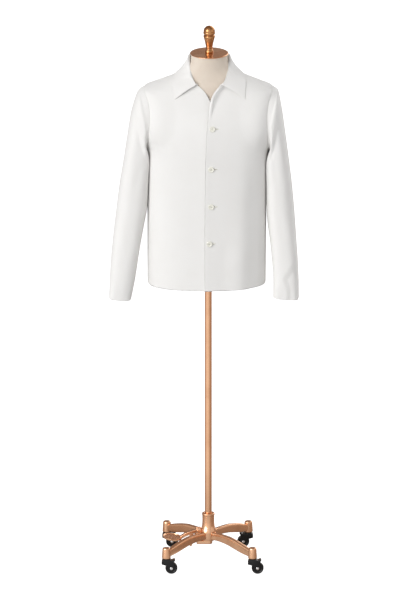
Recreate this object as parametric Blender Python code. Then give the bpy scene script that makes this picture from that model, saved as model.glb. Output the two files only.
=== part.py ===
# A short blazer with a point collar and four buttons, on a limbless dress form with a wheeled stand.
#
# Lengths are in millimetres in this file; add_mesh() turns them into metres. +Z is up, the jacket's front
# faces -Y, and +X is the wearer's left. The floor is z = 0. Every piece is laid out about the stand's pole, and
# one empty carries them all, moved sideways so that the origin lies midway between the two sleeves.
import math
from types import SimpleNamespace

import bmesh
import bpy
import numpy as np
from mathutils import Matrix, Vector

# ---------------------------------------------------------------- driving dimensions
pole_from_origin = 13.5

cloth = 1.9  # thickness of the jacket's cloth
seam = 0.3  # gap between pieces that are sewn together or rest on each other
hem_z = 923.0
armhole_low_z, armhole_high_z = 1350.0, 1556.0
armhole_reach = math.radians(21.0)  # how far the armhole leaves the side seam, seen from above
neck_corner_z = 1577.0  # where the collar's front ends are sewn on
neck_corner_angle = 28.0  # degrees from the centre front
shoulder_neck_z = 1613.0  # the shoulder seam's inner end
back_neck_z = 1614.0
under_front_reach = 20.0  # how far the covered front passes the buttons
button_diameter, button_thickness = 18.5, 3.0

form_bottom_z, form_top_z = 957.0, 1664.0
cap_diameter, cap_thickness = 121.0, 3.2

pole_diameter, pole_top_z = 22.0, 1300.0
bore_clearance, bore_top_z = 0.35, 1500.0
hub_socket_z = 100.0
leg_width = 15.0
boss_low_z, boss_high_z = 50.0, 85.0
boss_low_radius, boss_high_radius = 14.0, 12.0
wheel_radius, wheel_width = 19.0, 16.0
caster_trail = 16.0
axle_radius, axle_clearance = 2.5, 0.3
pedal_pivot = (-31.0, 0.0, 100.0)

# Where each caster turns, from the pole, and which way along X its wheel trails.
casters = {
    "front_left": ((139.0, -144.0), 1),
    "front_right": ((-132.0, -144.0), 1),
    "back_left": ((126.0, 144.0), -1),
    "back_right": ((-130.0, 144.0), 1),
}

# ---------------------------------------------------------------- tables with named columns


def monotone_slopes(keys, values):
    # Slopes for a cubic through the rows that never overshoots them.
    steps = np.diff(values) / np.diff(keys)
    slopes = np.concatenate([[steps[0]], (steps[:-1] + steps[1:]) / 2, [steps[-1]]])
    for k, step in enumerate(steps):
        if step == 0:
            slopes[k] = slopes[k + 1] = 0
            continue
        if k and steps[k - 1] * step < 0:
            slopes[k] = 0
        size = math.hypot(slopes[k], slopes[k + 1]) / abs(step)
        if size > 3:
            slopes[k] *= 3 / size
            slopes[k + 1] *= 3 / size
    return slopes


class Table:
    # Rows of named columns, read in between along a smooth curve. The first column is the key.
    def __init__(self, columns, *rows):
        self.columns = columns.split()
        self.rows = np.array(rows, float)
        self.slopes = [monotone_slopes(self.rows[:, 0], column) for column in self.rows.T]

    def at(self, key):
        keys = self.rows[:, 0]
        key = min(max(key, keys[0]), keys[-1])
        k = min(int(np.searchsorted(keys, key, side="right")) - 1, len(keys) - 2)
        width = keys[k + 1] - keys[k]
        t = (key - keys[k]) / width
        low, high = (2 * t + 1) * (1 - t) ** 2, t * t * (3 - 2 * t)
        start, end = t * (1 - t) ** 2 * width, t * t * (t - 1) * width
        found = SimpleNamespace()
        for name, column, slopes in zip(self.columns, self.rows.T, self.slopes):
            value = low * column[k] + high * column[k + 1] + start * slopes[k] + end * slopes[k + 1]
            setattr(found, name, float(value))
        return found


def ease(low, high, value):
    # 0 below low, 1 above high, smooth in between.
    t = min(max((value - low) / (high - low), 0.0), 1.0)
    return t * t * (3 - 2 * t)


def hump(value, centre, width):
    # 1 at the centre, falling smoothly to nothing a width away on each side.
    return math.exp(-((2 * (value - centre) / width) ** 2))


# ---------------------------------------------------------------- meshes


def add_mesh(name, points, faces, material, smooth=True):
    mesh = bpy.data.meshes.new(name)
    mesh.from_pydata([Vector(point) / 1000 for point in points], [], faces)
    mesh.validate()
    shape = bmesh.new()
    shape.from_mesh(mesh)
    bmesh.ops.recalc_face_normals(shape, faces=shape.faces)
    shape.to_mesh(mesh)
    shape.free()
    if smooth:
        mesh.shade_smooth()
        mesh.set_sharp_from_angle(angle=math.radians(35))
    mesh.materials.append(material)
    piece = bpy.data.objects.new(name, mesh)
    bpy.context.scene.collection.objects.link(piece)
    piece.parent = stand_axis
    return piece


def wall(name, inner, outer, faces, material):
    # A closed wall between two sheets of points that share the same faces, with a rim along their open edges.
    count = len(inner)
    edges = {}
    for face in faces:
        for a, b in zip(face, face[1:] + face[:1]):
            edges[a, b] = True
    rim = [(a, b) for a, b in edges if (b, a) not in edges]
    solid = [list(face) for face in faces]
    solid += [[count + k for k in reversed(face)] for face in faces]
    solid += [[b, a, count + a, count + b] for a, b in rim]
    return add_mesh(name, list(outer) + list(inner), solid, material)


def grid_faces(across, along, closed=False):
    # Faces of a grid of points stored row by row, each row `across` points long.
    faces = []
    for row in range(along - 1):
        for k in range(across if closed else across - 1):
            a, b = row * across + k, row * across + (k + 1) % across
            faces.append([a, b, b + across, a + across])
    return faces


def chain(name, rings, material):
    # A solid through rings with equally many points, its two ends closed.
    count = len(rings[0])
    points = [point for ring in rings for point in ring]
    faces = grid_faces(count, len(rings), closed=True)
    faces.append(list(range(count)))
    faces.append([(len(rings) - 1) * count + k for k in range(count)])
    return add_mesh(name, points, faces, material)


def circle(radius, z, count, centre=(0.0, 0.0)):
    turn = [2 * math.pi * (k + 0.5) / count for k in range(count)]
    return [(centre[0] + radius * math.cos(a), centre[1] + radius * math.sin(a), z) for a in turn]


def turned(name, profile, material, count=24):
    # A turned piece: the profile's rows are (radius, z), from one end of the piece to the other.
    return chain(name, [circle(radius, z, count) for radius, z in profile], material)


def prism(name, outline, low, high, material, across="y"):
    # An outline drawn in X and Z and pushed out along Y, or drawn in X and Y and pushed up.
    if across == "y":
        rings = [[(x, y, z) for x, z in outline] for y in (low, high)]
    else:
        rings = [[(x, y, z) for x, y in outline] for z in (low, high)]
    return chain(name, rings, material)


def bevelled(piece, width, segments=2):
    bevel = piece.modifiers.new("rounded edges", "BEVEL")
    bevel.width = width / 1000
    bevel.segments = segments
    bevel.limit_method = "ANGLE"
    bevel.angle_limit = math.radians(35)
    return piece


def joined(piece, other, operation="UNION"):
    # One solid from two: the other one is only a helper.
    boolean = piece.modifiers.new(operation.lower(), "BOOLEAN")
    boolean.object = other
    boolean.operation = operation
    boolean.solver = "EXACT"
    other.hide_render = True
    other.display_type = "WIRE"
    return piece


def finish(name, colour, roughness, metallic=0.0):
    material = bpy.data.materials.new(name)
    material.use_nodes = True
    shader = material.node_tree.nodes["Principled BSDF"]
    shader.inputs["Base Color"].default_value = (*colour, 1)
    shader.inputs["Roughness"].default_value = roughness
    shader.inputs["Metallic"].default_value = metallic
    return material


# ---------------------------------------------------------------- the jacket's body as one closed surface
# Level sections of the cloth's inner side: half the width, the depth before and behind the pole, how square the
# section is (2 is an ellipse), and how far it sits to the wearer's left.
torso = Table(
    "z half_width front back squareness shift",
    (923, 183.5, 124, 113, 3.1, -5.0),
    (1000, 184, 124.5, 113, 3.1, -5.0),
    (1100, 184.5, 125, 114, 3.05, -4.5),
    (1200, 185, 126, 115, 3.0, -4.0),
    (1300, 186, 127, 117, 3.0, -2.5),
    (1370, 189, 127, 118, 3.0, -1.5),
    (1427, 197, 123, 118, 2.95, -0.5),
    (1463, 201, 117, 115.5, 2.85, 0.0),
    (1497, 203, 107, 109, 2.75, 0.5),
    (1523, 204, 94, 99, 2.75, 0.5),
    (1541, 203.8, 82, 89, 2.9, 0.5),
    (1550, 201.5, 75.5, 83.5, 2.95, 0.5),
    (1556, 196.5, 71.5, 80, 2.85, 0.5),
    (1562, 184, 68.3, 77, 2.65, 1.0),
    (1576, 151, 62, 71, 2.3, 2.5),
    (1588, 123.5, 58.5, 67.5, 2.1, 3.0),
    (1597, 104.5, 57, 65.5, 2.0, 3.0),
    (1606, 87.5, 55.5, 63.5, 2.0, 3.0),
    (1613, 74.5, 54, 62, 2.0, 3.0),
    (1620, 66, 53.5, 60.5, 2.0, 3.0),
)


def torso_skin(angle, z):
    # The angle runs from 0 at the centre front over 90 degrees at the wearer's left to 180 at the back.
    ring = torso.at(z)
    across, ahead = math.sin(angle), math.cos(angle)
    depth = ring.front if ahead > 0 else ring.back
    power = ring.squareness
    reach = (abs(across / ring.half_width) ** power + abs(ahead / depth) ** power) ** (-1 / power)
    return Vector((ring.shift + reach * across, -reach * ahead, z))


def torso_at(angle, z, lift=0.0):
    # A point moved out from the skin, and the direction in which it was moved.
    point = torso_skin(angle, z)
    sideways = torso_skin(angle + 0.004, z) - torso_skin(angle - 0.004, z)
    upwards = torso_skin(angle, z + 0.8) - torso_skin(angle, z - 0.8)
    normal = sideways.cross(upwards).normalized()
    return point + normal * lift, normal


def torso_side(y, z):
    # How far to the side the body reaches at this depth and height, past the section's own shift.
    ring = torso.at(z)
    depth = ring.front if y < 0 else ring.back
    share = min(abs(y) / depth, 1.0)
    return ring.half_width * (1 - share**ring.squareness) ** (1 / ring.squareness)


def front_angle(x, z):
    # The angle at which the front of the body has this x.
    ring = torso.at(z)
    share = min(abs(x - ring.shift) / ring.half_width, 1.0)
    ahead = ring.front * (1 - share**ring.squareness) ** (1 / ring.squareness)
    return math.atan2(x - ring.shift, ahead)


def armhole(turn, front=True):
    # (angle from the side seam's own side, z) round the armhole: 0 at the shoulder, half a turn at the armpit.
    middle = (armhole_low_z + armhole_high_z) / 2
    half = (armhole_high_z - armhole_low_z) / 2
    z = middle + half * math.cos(turn)
    away = armhole_reach * math.sin(turn)
    return (math.pi / 2 - away if front else math.pi / 2 + away), z


# ---------------------------------------------------------------- fronts and back
# Each panel is a patch with four sides: hem, centre line, neckline, and the side with its seam, armhole and
# shoulder seam. Its rows run from the centre line to the side.
side_rows, armhole_rows, shoulder_rows = 7, 12, 6
panel_rows = side_rows + armhole_rows + shoulder_rows
front_columns, back_columns = 14, 10

# Where each row starts: on a front's free edge, and at the centre back.
front_rise = Table(
    "row z",
    (0, hem_z),
    (side_rows, 1366),
    (side_rows + 6, 1468),
    (side_rows + armhole_rows, 1541),
    (side_rows + armhole_rows + 3, 1553),
    (panel_rows, neck_corner_z),
)
back_rise = Table(
    "row z",
    (0, hem_z),
    (side_rows, 1350),
    (side_rows + 6, 1451),
    (side_rows + armhole_rows, 1557),
    (side_rows + armhole_rows + 3, 1577),
    (panel_rows, back_neck_z),
)
# The fronts' free edges. x is to the wearer's left.
over_edge = Table(
    "z x",
    (923, -12.0),
    (1180, -11.5),
    (1380, -8.5),
    (1458, -4.0),
    (1502, 1.5),
    (1531, 6.0),
    (1557, 19.0),
    (1577, 35.0),
)
under_edge = Table(
    "z x",
    (923, under_front_reach),
    (1450, under_front_reach),
    (1502, 16.0),
    (1531, 7.0),
    (1562, -14.0),
    (1577, -32.0),
)


def neckline(degrees):
    # The neckline's height from the collar's front end over the shoulder seam to the centre back.
    if degrees <= 90:
        share = (degrees - neck_corner_angle) / (90 - neck_corner_angle)
        return neck_corner_z + (shoulder_neck_z - neck_corner_z) * share
    return shoulder_neck_z + (back_neck_z - shoulder_neck_z) * (degrees - 90) / 90


def side_edge(row, front):
    # Side seam up to the armpit, then round the armhole to the shoulder, then up the shoulder seam.
    if row <= side_rows:
        return math.pi / 2, hem_z + (armhole_low_z - hem_z) * row / side_rows
    if row <= side_rows + armhole_rows:
        return armhole(math.pi * (1 - (row - side_rows) / armhole_rows), front)
    share = ((row - side_rows - armhole_rows) / shoulder_rows) ** 1.6
    return math.pi / 2, armhole_high_z + (shoulder_neck_z - armhole_high_z) * share


def seam_turn(z):
    # The angle that half a seam's gap takes at the body's side.
    return seam / 2 / torso.at(z).half_width


def front_lift(x, z):
    # The covering front lies on the covered one near its edge, and comes down to the body beside it.
    over = 1 - ease(under_front_reach + 3, under_front_reach + 32, x)
    return (cloth + seam + 0.25) * over * (1 - ease(1532, 1562, z))


def collar_trough(x, z):
    # The open top of the covering front turns out along its edge.
    run = (z - 1492) / (1577 - 1492)
    if not -0.4 < run < 1.4:
        return 0.0
    ends = ease(-0.15, 0.35, run) * (1 - ease(0.6, 0.95, run))
    return ends * 5.5 * hump(x, 56 * run - 9, 24)


def crowded(share):
    # Columns stand closer together towards the side, where the shoulder turns sharply.
    return 1 - (1 - share) ** 1.25


def front_panel(name, side):
    # side is 1 for the covering front on the wearer's left, -1 for the covered one.
    inner, outer = [], []
    for row in range(panel_rows + 1):
        start_z = front_rise.at(row).z
        edge_x = over_edge.at(start_z).x if side > 0 else -under_edge.at(start_z).x
        start = front_angle(side * edge_x, start_z) * side
        end, end_z = side_edge(row, front=True)
        end -= seam_turn(end_z)
        for k in range(front_columns):
            u = crowded(k / (front_columns - 1))
            angle, z = start + (end - start) * u, start_z + (end_z - start_z) * u
            x = torso_skin(angle, z).x
            lift = front_lift(x, z) + collar_trough(x, z) if side > 0 else 0.0
            base, normal = torso_at(angle * side, z)
            inner.append(base + normal * lift)
            outer.append(base + normal * (lift + cloth))
    return wall(name, inner, outer, grid_faces(front_columns, panel_rows + 1), materials["cloth"])


def back_panel(name):
    # One row after another from the wearer's right side seam over the centre back to the left one.
    inner, outer = [], []
    for row in range(panel_rows + 1):
        start_z = back_rise.at(row).z
        end, end_z = side_edge(row, front=False)
        end += seam_turn(end_z)
        for k in range(1 - back_columns, back_columns):
            u = crowded(abs(k) / (back_columns - 1))
            angle, z = math.pi + (end - math.pi) * u, start_z + (end_z - start_z) * u
            base, normal = torso_at(angle if k >= 0 else -angle, z)
            inner.append(base)
            outer.append(base + normal * cloth)
    return wall(name, inner, outer, grid_faces(2 * back_columns - 1, panel_rows + 1), materials["cloth"])


# ---------------------------------------------------------------- collar
# One folded strip: a stand that rises from the neckline, a rounded fold, and a leaf that comes down over the
# jacket. Columns: where it is sewn on, the fold, where the leaf's outer edge lies on the body, and how far the
# leaf bows outwards in between.
collar_half = (
    # seam_angle, fold x, fold y, fold z, edge_angle, edge_z, bow
    (28, 42.6, -70, 1583.5, 55.2, 1537, 2.0),
    (36, 47, -63.5, 1590, 59.4, 1553, 1.5),
    (47, 53, -52.5, 1599, 64.0, 1566, 0.5),
    (60, 58.5, -36, 1614, 70.5, 1579, -1.5),
    (73, 62.5, -17, 1633, 79.0, 1590.5, -3.5),
    (90, 63.8, 4, 1648, 91.0, 1596.5, -4.0),
    (106, 61.5, 25, 1655, 106.0, 1595.5, -2.5),
    (127, 50.5, 46, 1656, 124.0, 1593, 0.0),
    (152, 28, 60, 1655, 150.0, 1594, 1.5),
    (180, 0, 65, 1654, 180.0, 1595, 2.0),
)
narrower_leaf = 0.9  # degrees per station by which the covered side's leaf ends sooner


def whole_collar():
    rows = []
    for k, (seam_angle, x, y, z, edge_angle, edge_z, bow) in enumerate(collar_half):
        rows.append((k, seam_angle, x, y, z, edge_angle, edge_z, bow))
    last = len(collar_half) - 1
    for k in range(last - 1, -1, -1):
        seam_angle, x, y, z, edge_angle, edge_z, bow = collar_half[k]
        edge_angle -= narrower_leaf * max(3 - k, 0)
        rows.append((2 * last - k, 360 - seam_angle, -x, y, z, 360 - edge_angle, edge_z, bow))
    return Table("k seam_angle fold_x fold_y fold_z edge_angle edge_z bow", *rows)


def spline_point(points, t):
    # A smooth curve through the points, evenly shared over t from 0 to 1.
    spans = len(points) - 1
    k = min(int(t * spans), spans - 1)
    part = t * spans - k
    before, start = points[max(k - 1, 0)], points[k]
    end, after = points[k + 1], points[min(k + 2, spans)]
    leave, arrive = (end - before) / 2, (after - start) / 2
    low, high = (2 * part + 1) * (1 - part) ** 2, part * part * (3 - 2 * part)
    return start * low + end * high + leave * part * (1 - part) ** 2 + arrive * part * part * (part - 1)


def collar_panel(name):
    stations = whole_collar()
    last = stations.rows[-1, 0]
    columns, rows = 37, 11
    fold_radius = 2.4
    leaf_lift = cloth + 1.2 + cloth / 2

    def line(k):
        row = stations.at(k)
        seam_angle = math.radians(row.seam_angle)
        degrees = row.seam_angle if row.seam_angle <= 180 else 360 - row.seam_angle
        foot, upward = torso_at(seam_angle, neckline(degrees), cloth / 2)
        fold = Vector((row.fold_x + torso.at(row.fold_z).shift, row.fold_y, row.fold_z))
        edge, _ = torso_at(math.radians(row.edge_angle), row.edge_z, leaf_lift)
        ahead, behind = stations.at(min(k + 0.05, last)), stations.at(max(k - 0.05, 0))
        along = Vector((ahead.fold_x - behind.fold_x, ahead.fold_y - behind.fold_y, 0)).normalized()
        out = Vector((along.y, -along.x, 0))
        foot.z += cloth / 2 * upward.z + seam + 0.5 + 0.7 * (1 - ease(0.5, 2.0, min(k, last - k)))
        middle = foot.lerp(fold, 0.5) - out * 0.3
        rise = Vector((0, 0, fold_radius))
        inside, outside = fold - out * fold_radius - rise, fold + out * fold_radius - rise
        bow = (out + Vector((0, 0, 0.6))) * row.bow
        leaf = [outside.lerp(edge, 0.35) + bow, outside.lerp(edge, 0.7) + bow * 0.8]
        return [foot, middle, inside, fold, outside, *leaf, edge]

    def point(k, t):
        here = spline_point(line(k), t)
        if t < 0.55:
            return here
        # the leaf lies on the body or above it
        angle = math.atan2(here.x - torso.at(here.z).shift, -here.y)
        base, normal = torso_at(angle, here.z)
        return here + normal * max(cloth * 1.5 + seam + 0.6 - (here - base).dot(normal), 0)

    inner, outer = [], []
    shares = [0, 0.14, 0.25, 0.35, 0.43, 0.5, 0.57, 0.66, 0.77, 0.88, 1]
    for t in shares:
        for column in range(columns):
            k = last * column / (columns - 1)
            across = point(min(k + 0.02, last), t) - point(max(k - 0.02, 0), t)
            down = point(k, min(t + 0.01, 1)) - point(k, max(t - 0.01, 0))
            normal = across.cross(down).normalized()
            here = point(k, t)
            inner.append(here - normal * cloth / 2)
            outer.append(here + normal * cloth / 2)
    return wall(name, inner, outer, grid_faces(columns, rows), materials["cloth"])


# ---------------------------------------------------------------- sleeves
# Each row is a section of the sleeve: its point nearest the body, its point farthest out (both measured outwards
# from the pole), the section's middle depth, half its depth, and how square it is. The armhole comes before them.
sleeve_sections = {
    1: Table(
        "row inner_x inner_z outer_x outer_z mid_y half_depth squareness",
        (1, 192.0, 1353, 212.5, 1549, 0, 75.5, 2.05),
        (2, 192.5, 1351, 220.5, 1539, -2, 77, 2.2),
        (3, 191, 1348, 227.5, 1507, -4, 77, 2.3),
        (4, 189, 1343, 235, 1463, -6, 76, 2.3),
        (5, 186, 1336, 241.5, 1414, -8, 75, 2.3),
        (6, 183, 1327, 247, 1374, -10, 74, 2.3),
        (7, 180.5, 1316, 252, 1334, -11, 73, 2.35),
        (8, 178.5, 1296, 256.5, 1300, -12, 72, 2.4),
        (9, 178, 1240, 263.5, 1240, -14, 70, 2.45),
        (10, 179.5, 1180, 269, 1180, -17, 67, 2.5),
        (11, 185, 1120, 273.5, 1120, -21, 64, 2.6),
        (12, 193.5, 1061, 277.5, 1061, -27, 60.5, 2.8),
        (13, 199.5, 1000, 281.5, 1000, -33, 56, 3.1),
        (14, 204, 940, 284.5, 938, -40, 51, 3.6),
        (15, 203.8, 885, 285, 877, -47, 44, 4.8),
    ),
    -1: Table(
        "row inner_x inner_z outer_x outer_z mid_y half_depth squareness",
        (1, 192.5, 1353, 211.5, 1549, 0, 75.5, 2.05),
        (2, 193, 1351, 221.5, 1538, -2, 77, 2.2),
        (3, 192, 1348, 232.5, 1510, -4, 77, 2.3),
        (4, 190, 1343, 243.5, 1470, -6, 76, 2.3),
        (5, 187, 1336, 250.5, 1427, -8, 75, 2.3),
        (6, 185, 1327, 256.5, 1386, -10, 74, 2.3),
        (7, 184, 1316, 262.5, 1346, -11, 73, 2.35),
        (8, 183.5, 1296, 269, 1304, -12, 72, 2.4),
        (9, 183.5, 1240, 279.5, 1240, -14, 70, 2.45),
        (10, 188, 1180, 287, 1180, -17, 67, 2.5),
        (11, 199.5, 1120, 294, 1120, -21, 64, 2.6),
        (12, 210.5, 1061, 300.5, 1061, -27, 60.5, 2.8),
        (13, 220, 1000, 306, 1000, -33, 56, 3.1),
        (14, 229, 940, 309.5, 940, -40, 51, 3.6),
        (15, 241.5, 876, 312, 881, -47, 44, 4.8),
    ),
}
body_clearance = 1.3


def soft_max(a, b, blend=3.0):
    return 0.5 * (a + b + math.sqrt((a - b) ** 2 + blend * blend))


def sleeve_folds(side, row, turn):
    # The largest folds, as distances along the section's outward direction. turn is 0 outside, a quarter turn at
    # the front and half a turn next to the body.
    quarter = math.pi / 2
    if side > 0:
        # a bend of the forearm: the outer half falls back behind a ridge that ends in a point at the front
        return -5.0 * hump(row, 13.9, 2.2) * hump(turn, 0.55 * quarter, 1.1) + 2.0 * hump(row, 13.2, 1.2) * hump(
            turn, 1.1 * quarter, 0.9
        )
    # a long soft ridge down the front of the forearm, hollow on the side towards the body
    ridge = 2.2 * hump(turn, 0.9 * quarter, 0.8) - 3.2 * hump(turn, 1.45 * quarter, 0.9)
    return ridge * ease(12.2, 13.6, row)


def armhole_point(side, turn, lift):
    # turn runs from the shoulder over the front to the armpit and back up behind.
    front = turn <= math.pi
    angle, z = armhole(turn if front else 2 * math.pi - turn, front)
    return torso_at(angle * side, z, lift)[0]


def sleeve_outer(side, row, turn):
    section = sleeve_sections[side].at(row)
    near = Vector((section.inner_x, 0, section.inner_z))
    far = Vector((section.outer_x, 0, section.outer_z))
    half_length, half_depth = (far - near).length / 2, section.half_depth
    power = section.squareness
    along, ahead = half_length * math.cos(turn), half_depth * math.sin(turn)
    spread = (abs(math.cos(turn)) ** power + abs(math.sin(turn)) ** power) ** (-1 / power)
    spread += sleeve_folds(side, row, turn if turn < math.pi else turn - 2 * math.pi) / math.hypot(along, ahead)
    point = (near + far) / 2 + (far - near).normalized() * along * spread
    point.y = section.mid_y - ahead * spread
    # the armhole's front and back lie nearer the pole than its top and bottom
    point.x -= 9.0 * (1 - ease(1, 4, row)) * math.sin(turn) ** 4
    # clear of the body
    need = cloth + body_clearance + 1.6 * cloth * ease(1352, 1375, point.z)
    point.x = soft_max(point.x, torso_side(point.y, point.z) + side * torso.at(point.z).shift + need)
    point.x *= side
    return point


def sleeve(name, side):
    around = 2 * armhole_rows
    rows = [1, 2, 3, 4, 5, 6, 7, 8, 9, 10.5, 12, 12.8, 13.4, 13.9, 14.5, 15]
    turns = [2 * math.pi * k / around for k in range(around)]
    centre = Vector((side * 195, 0, (armhole_low_z + armhole_high_z) / 2))
    inner, outer = [], []
    for turn in turns:
        here, under = armhole_point(side, turn, cloth), armhole_point(side, turn, 0)
        along = armhole_point(side, turn + 0.02, cloth) - armhole_point(side, turn - 0.02, cloth)
        away = along.cross(here - under).normalized()
        if away.dot(centre - here) < 0:
            away.negate()
        gap = away * (seam + 0.1)
        outer.append(here + gap)
        inner.append(under + gap)
    for row in rows:
        for turn in turns:
            here = sleeve_outer(side, row, turn)
            step = sleeve_outer(side, row, turn + 0.02) - sleeve_outer(side, row, turn - 0.02)
            down = sleeve_outer(side, min(row + 0.02, 15), turn) - sleeve_outer(side, max(row - 0.02, 1), turn)
            normal = step.cross(down).normalized() * -side
            middle = sleeve_outer(side, row, 0).lerp(sleeve_outer(side, row, math.pi), 0.5)
            if normal.dot(here - middle) < 0:
                normal.negate()
            outer.append(here)
            inner.append(here - normal * cloth)
    return wall(name, inner, outer, grid_faces(around, len(rows) + 1, closed=True), materials["cloth"])


# ---------------------------------------------------------------- buttons
buttons = Table("number x z", (1, 13.0, 1453), (2, 9.0, 1325), (3, 9.0, 1202), (4, 3.5, 1080))


def button(number):
    spot = buttons.at(number)
    angle = front_angle(spot.x, spot.z)
    base, normal = torso_at(angle, spot.z, front_lift(spot.x, spot.z) + cloth + seam)
    radius, thick = button_diameter / 2, button_thickness
    profile = [
        (radius - 1.2, 0.0),
        (radius, 0.9),
        (radius, thick - 0.7),
        (radius - 1.0, thick),
        (radius - 3.0, thick - 0.7),
    ]
    piece = turned(f"button_{number}", profile, materials["button"], count=16)
    piece.matrix_local = Matrix.Translation(base / 1000) @ normal.to_track_quat("Z", "Y").to_matrix().to_4x4()
    return piece


# ---------------------------------------------------------------- dress form
# How far the form's skin lies inside the jacket, by height. It carries the cloth at the shoulders.
form_inset = Table(
    "z inset",
    (957, 22),
    (1040, 20),
    (1120, 26),
    (1190, 30),
    (1280, 24),
    (1370, 16),
    (1430, 13),
    (1480, 9),
    (1520, 5),
    (1547, 3.6),
    (1560, 1.2),
    (1578, 1.3),
    (1590, 3.4),
    (1606, 4.4),
)
form_neck = Table(
    "z half_width front back",
    (1613, 68, 48.5, 56),
    (1624, 61.5, 51, 55.5),
    (1640, 58.5, 54, 55),
    (1664, 57.5, 55.5, 55.5),
)


def form_ring(z, count):
    ring = []
    for k in range(count):
        angle = 2 * math.pi * (k + 0.5) / count
        if z <= 1606:
            ring.append(torso_at(angle, z, -form_inset.at(z).inset)[0])
            continue
        row = form_neck.at(z)
        depth = row.front if math.cos(angle) > 0 else row.back
        ring.append((torso.at(z).shift + row.half_width * math.sin(angle), -depth * math.cos(angle), z))
    return ring


def dress_form():
    count = 28
    heights = [962, 1000, 1050, 1110, 1180, 1250, 1310, 1370, 1420, 1460, 1495, 1522, 1540, 1550]
    heights += [1560, 1572, 1584, 1595, 1605, 1613, 1624, 1640, form_top_z]
    bore = pole_diameter / 2 + bore_clearance

    def bore_ring(z):
        # starts opposite the front like the form's own rings, so that the base is a ring of plain faces
        turns = [2 * math.pi * (k + 0.5) / count for k in range(count)]
        return [(bore * math.sin(a), -bore * math.cos(a), z) for a in turns]

    foot = [(x * 0.965, y * 0.965, form_bottom_z) for x, y, _ in form_ring(962, count)]
    rings = [bore_ring(bore_top_z), bore_ring(form_bottom_z), foot]
    rings += [form_ring(z, count) for z in heights]
    return chain("form", rings, materials["linen"])


def neck_cap():
    low = form_top_z + seam
    radius = cap_diameter / 2
    profile = [
        (radius - 0.8, low),
        (radius, low + 0.8),
        (radius, low + cap_thickness - 0.8),
        (radius - 0.8, low + cap_thickness),
    ]
    cap = turned("neck_cap", profile, materials["rose_brass"], count=32)
    cap.location.x = torso.at(form_top_z).shift / 1000
    return cap


def finial():
    low = form_top_z + seam + cap_thickness + seam
    # radius and height above the cap
    profile = [
        (12.5, 0),
        (13, 2.5),
        (11.5, 6),
        (8.3, 9),
        (8.5, 13),
        (12, 19),
        (14.8, 34),
        (17.8, 46),
        (18, 49.5),
        (13.5, 54),
        (13.5, 56.5),
        (17, 60),
        (18.7, 66),
        (18.4, 71),
        (15.5, 79),
        (10, 85),
        (4.5, 87.6),
        (1.2, 88),
    ]
    piece = turned("finial", [(r, low + h) for r, h in profile], materials["rose_brass"], count=16)
    piece.location.x = torso.at(form_top_z).shift / 1000
    return piece


# ---------------------------------------------------------------- stand


def pole():
    radius = pole_diameter / 2
    profile = [(radius, hub_socket_z + seam), (radius, pole_top_z - 1), (radius - 1, pole_top_z)]
    return turned("pole", profile, materials["rose_brass"], count=24)


def hub():
    bore = pole_diameter / 2 + bore_clearance
    profile = [
        (bore, hub_socket_z),
        (bore, 156),
        (17.5, 156),
        (19, 154.5),
        (19, 149.5),
        (17.6, 147.5),
        (17.6, 122),
        (19, 112),
        (23, 102),
        (24, 98),
        (24, 72),
        (21.5, 67),
    ]
    return turned("hub", profile, materials["rose_brass"], count=24)


def leg(name, place):
    # An arched arm from the hub out to the boss that holds the caster, drawn along X and then turned into place.
    reach = math.hypot(*place)
    top = Table("d z", (24.3, 96), (50, 97.5), (90, 97), (125, 92), (155, 85), (reach - 10, 76))
    low = Table("d z", (24.3, 73), (50, 73), (90, 70), (125, 63), (155, 57), (reach - 10, 53))
    ways = [24.3, 45, 70, 95, 120, 150, reach - 10]
    outline = [(d, top.at(d).z) for d in ways] + [(d, low.at(d).z) for d in reversed(ways)]
    arm = bevelled(prism(name, outline, -leg_width / 2, leg_width / 2, materials["rose_brass"]), 3.0, 1)
    boss_profile = [
        (boss_low_radius - 1, boss_low_z),
        (boss_low_radius, boss_low_z + 1.5),
        (boss_high_radius, boss_high_z - 2.5),
        (boss_high_radius - 3, boss_high_z),
    ]
    boss_rings = [circle(radius, z, 16, (reach, 0)) for radius, z in boss_profile]
    boss = chain(name + "_boss", boss_rings, materials["rose_brass"])
    joined(arm, boss)
    for piece in (arm, boss):
        piece.rotation_euler.z = math.atan2(place[1], place[0])
    return arm


def swivel(name, place, way):
    # Fork, hood and brake tab in one moulding. x runs from the swivel axis towards the wheel.
    top = boss_low_z - 0.4
    outline = [
        (-15, 34),
        (-14.5, 41),
        (-10, top),
        (13, top),
        (18, 44),
        (21, 47),
        (27, 47),
        (28, 44),
        (23.5, 40.5),
        (24.5, 28),
        (22, 15),
        (19, 12),
        (13, 12),
        (10, 15),
        (3, 26),
        (-8, 30),
    ]
    outline = [(way * x, z) for x, z in outline]
    if way < 0:
        outline.reverse()
    body = prism(name, outline, -11, 11, materials["caster"])
    wheel_x = way * caster_trail
    pocket = prism(
        name + "_pocket",
        [
            (wheel_x + (wheel_radius + 1.1) * math.cos(a), wheel_radius + (wheel_radius + 1.1) * math.sin(a))
            for a in (2 * math.pi * k / 18 for k in range(18))
        ],
        -wheel_width / 2 - 0.5,
        wheel_width / 2 + 0.5,
        materials["caster"],
    )
    axle = prism(
        name + "_axle",
        [
            (wheel_x + axle_radius * math.cos(a), wheel_radius + axle_radius * math.sin(a))
            for a in (2 * math.pi * k / 12 for k in range(12))
        ],
        -12,
        12,
        materials["caster"],
    )
    joined(body, pocket, "DIFFERENCE")
    joined(body, axle)
    for piece in (body, pocket, axle):
        piece.location = (place[0] / 1000, place[1] / 1000, 0)
    return body


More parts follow.
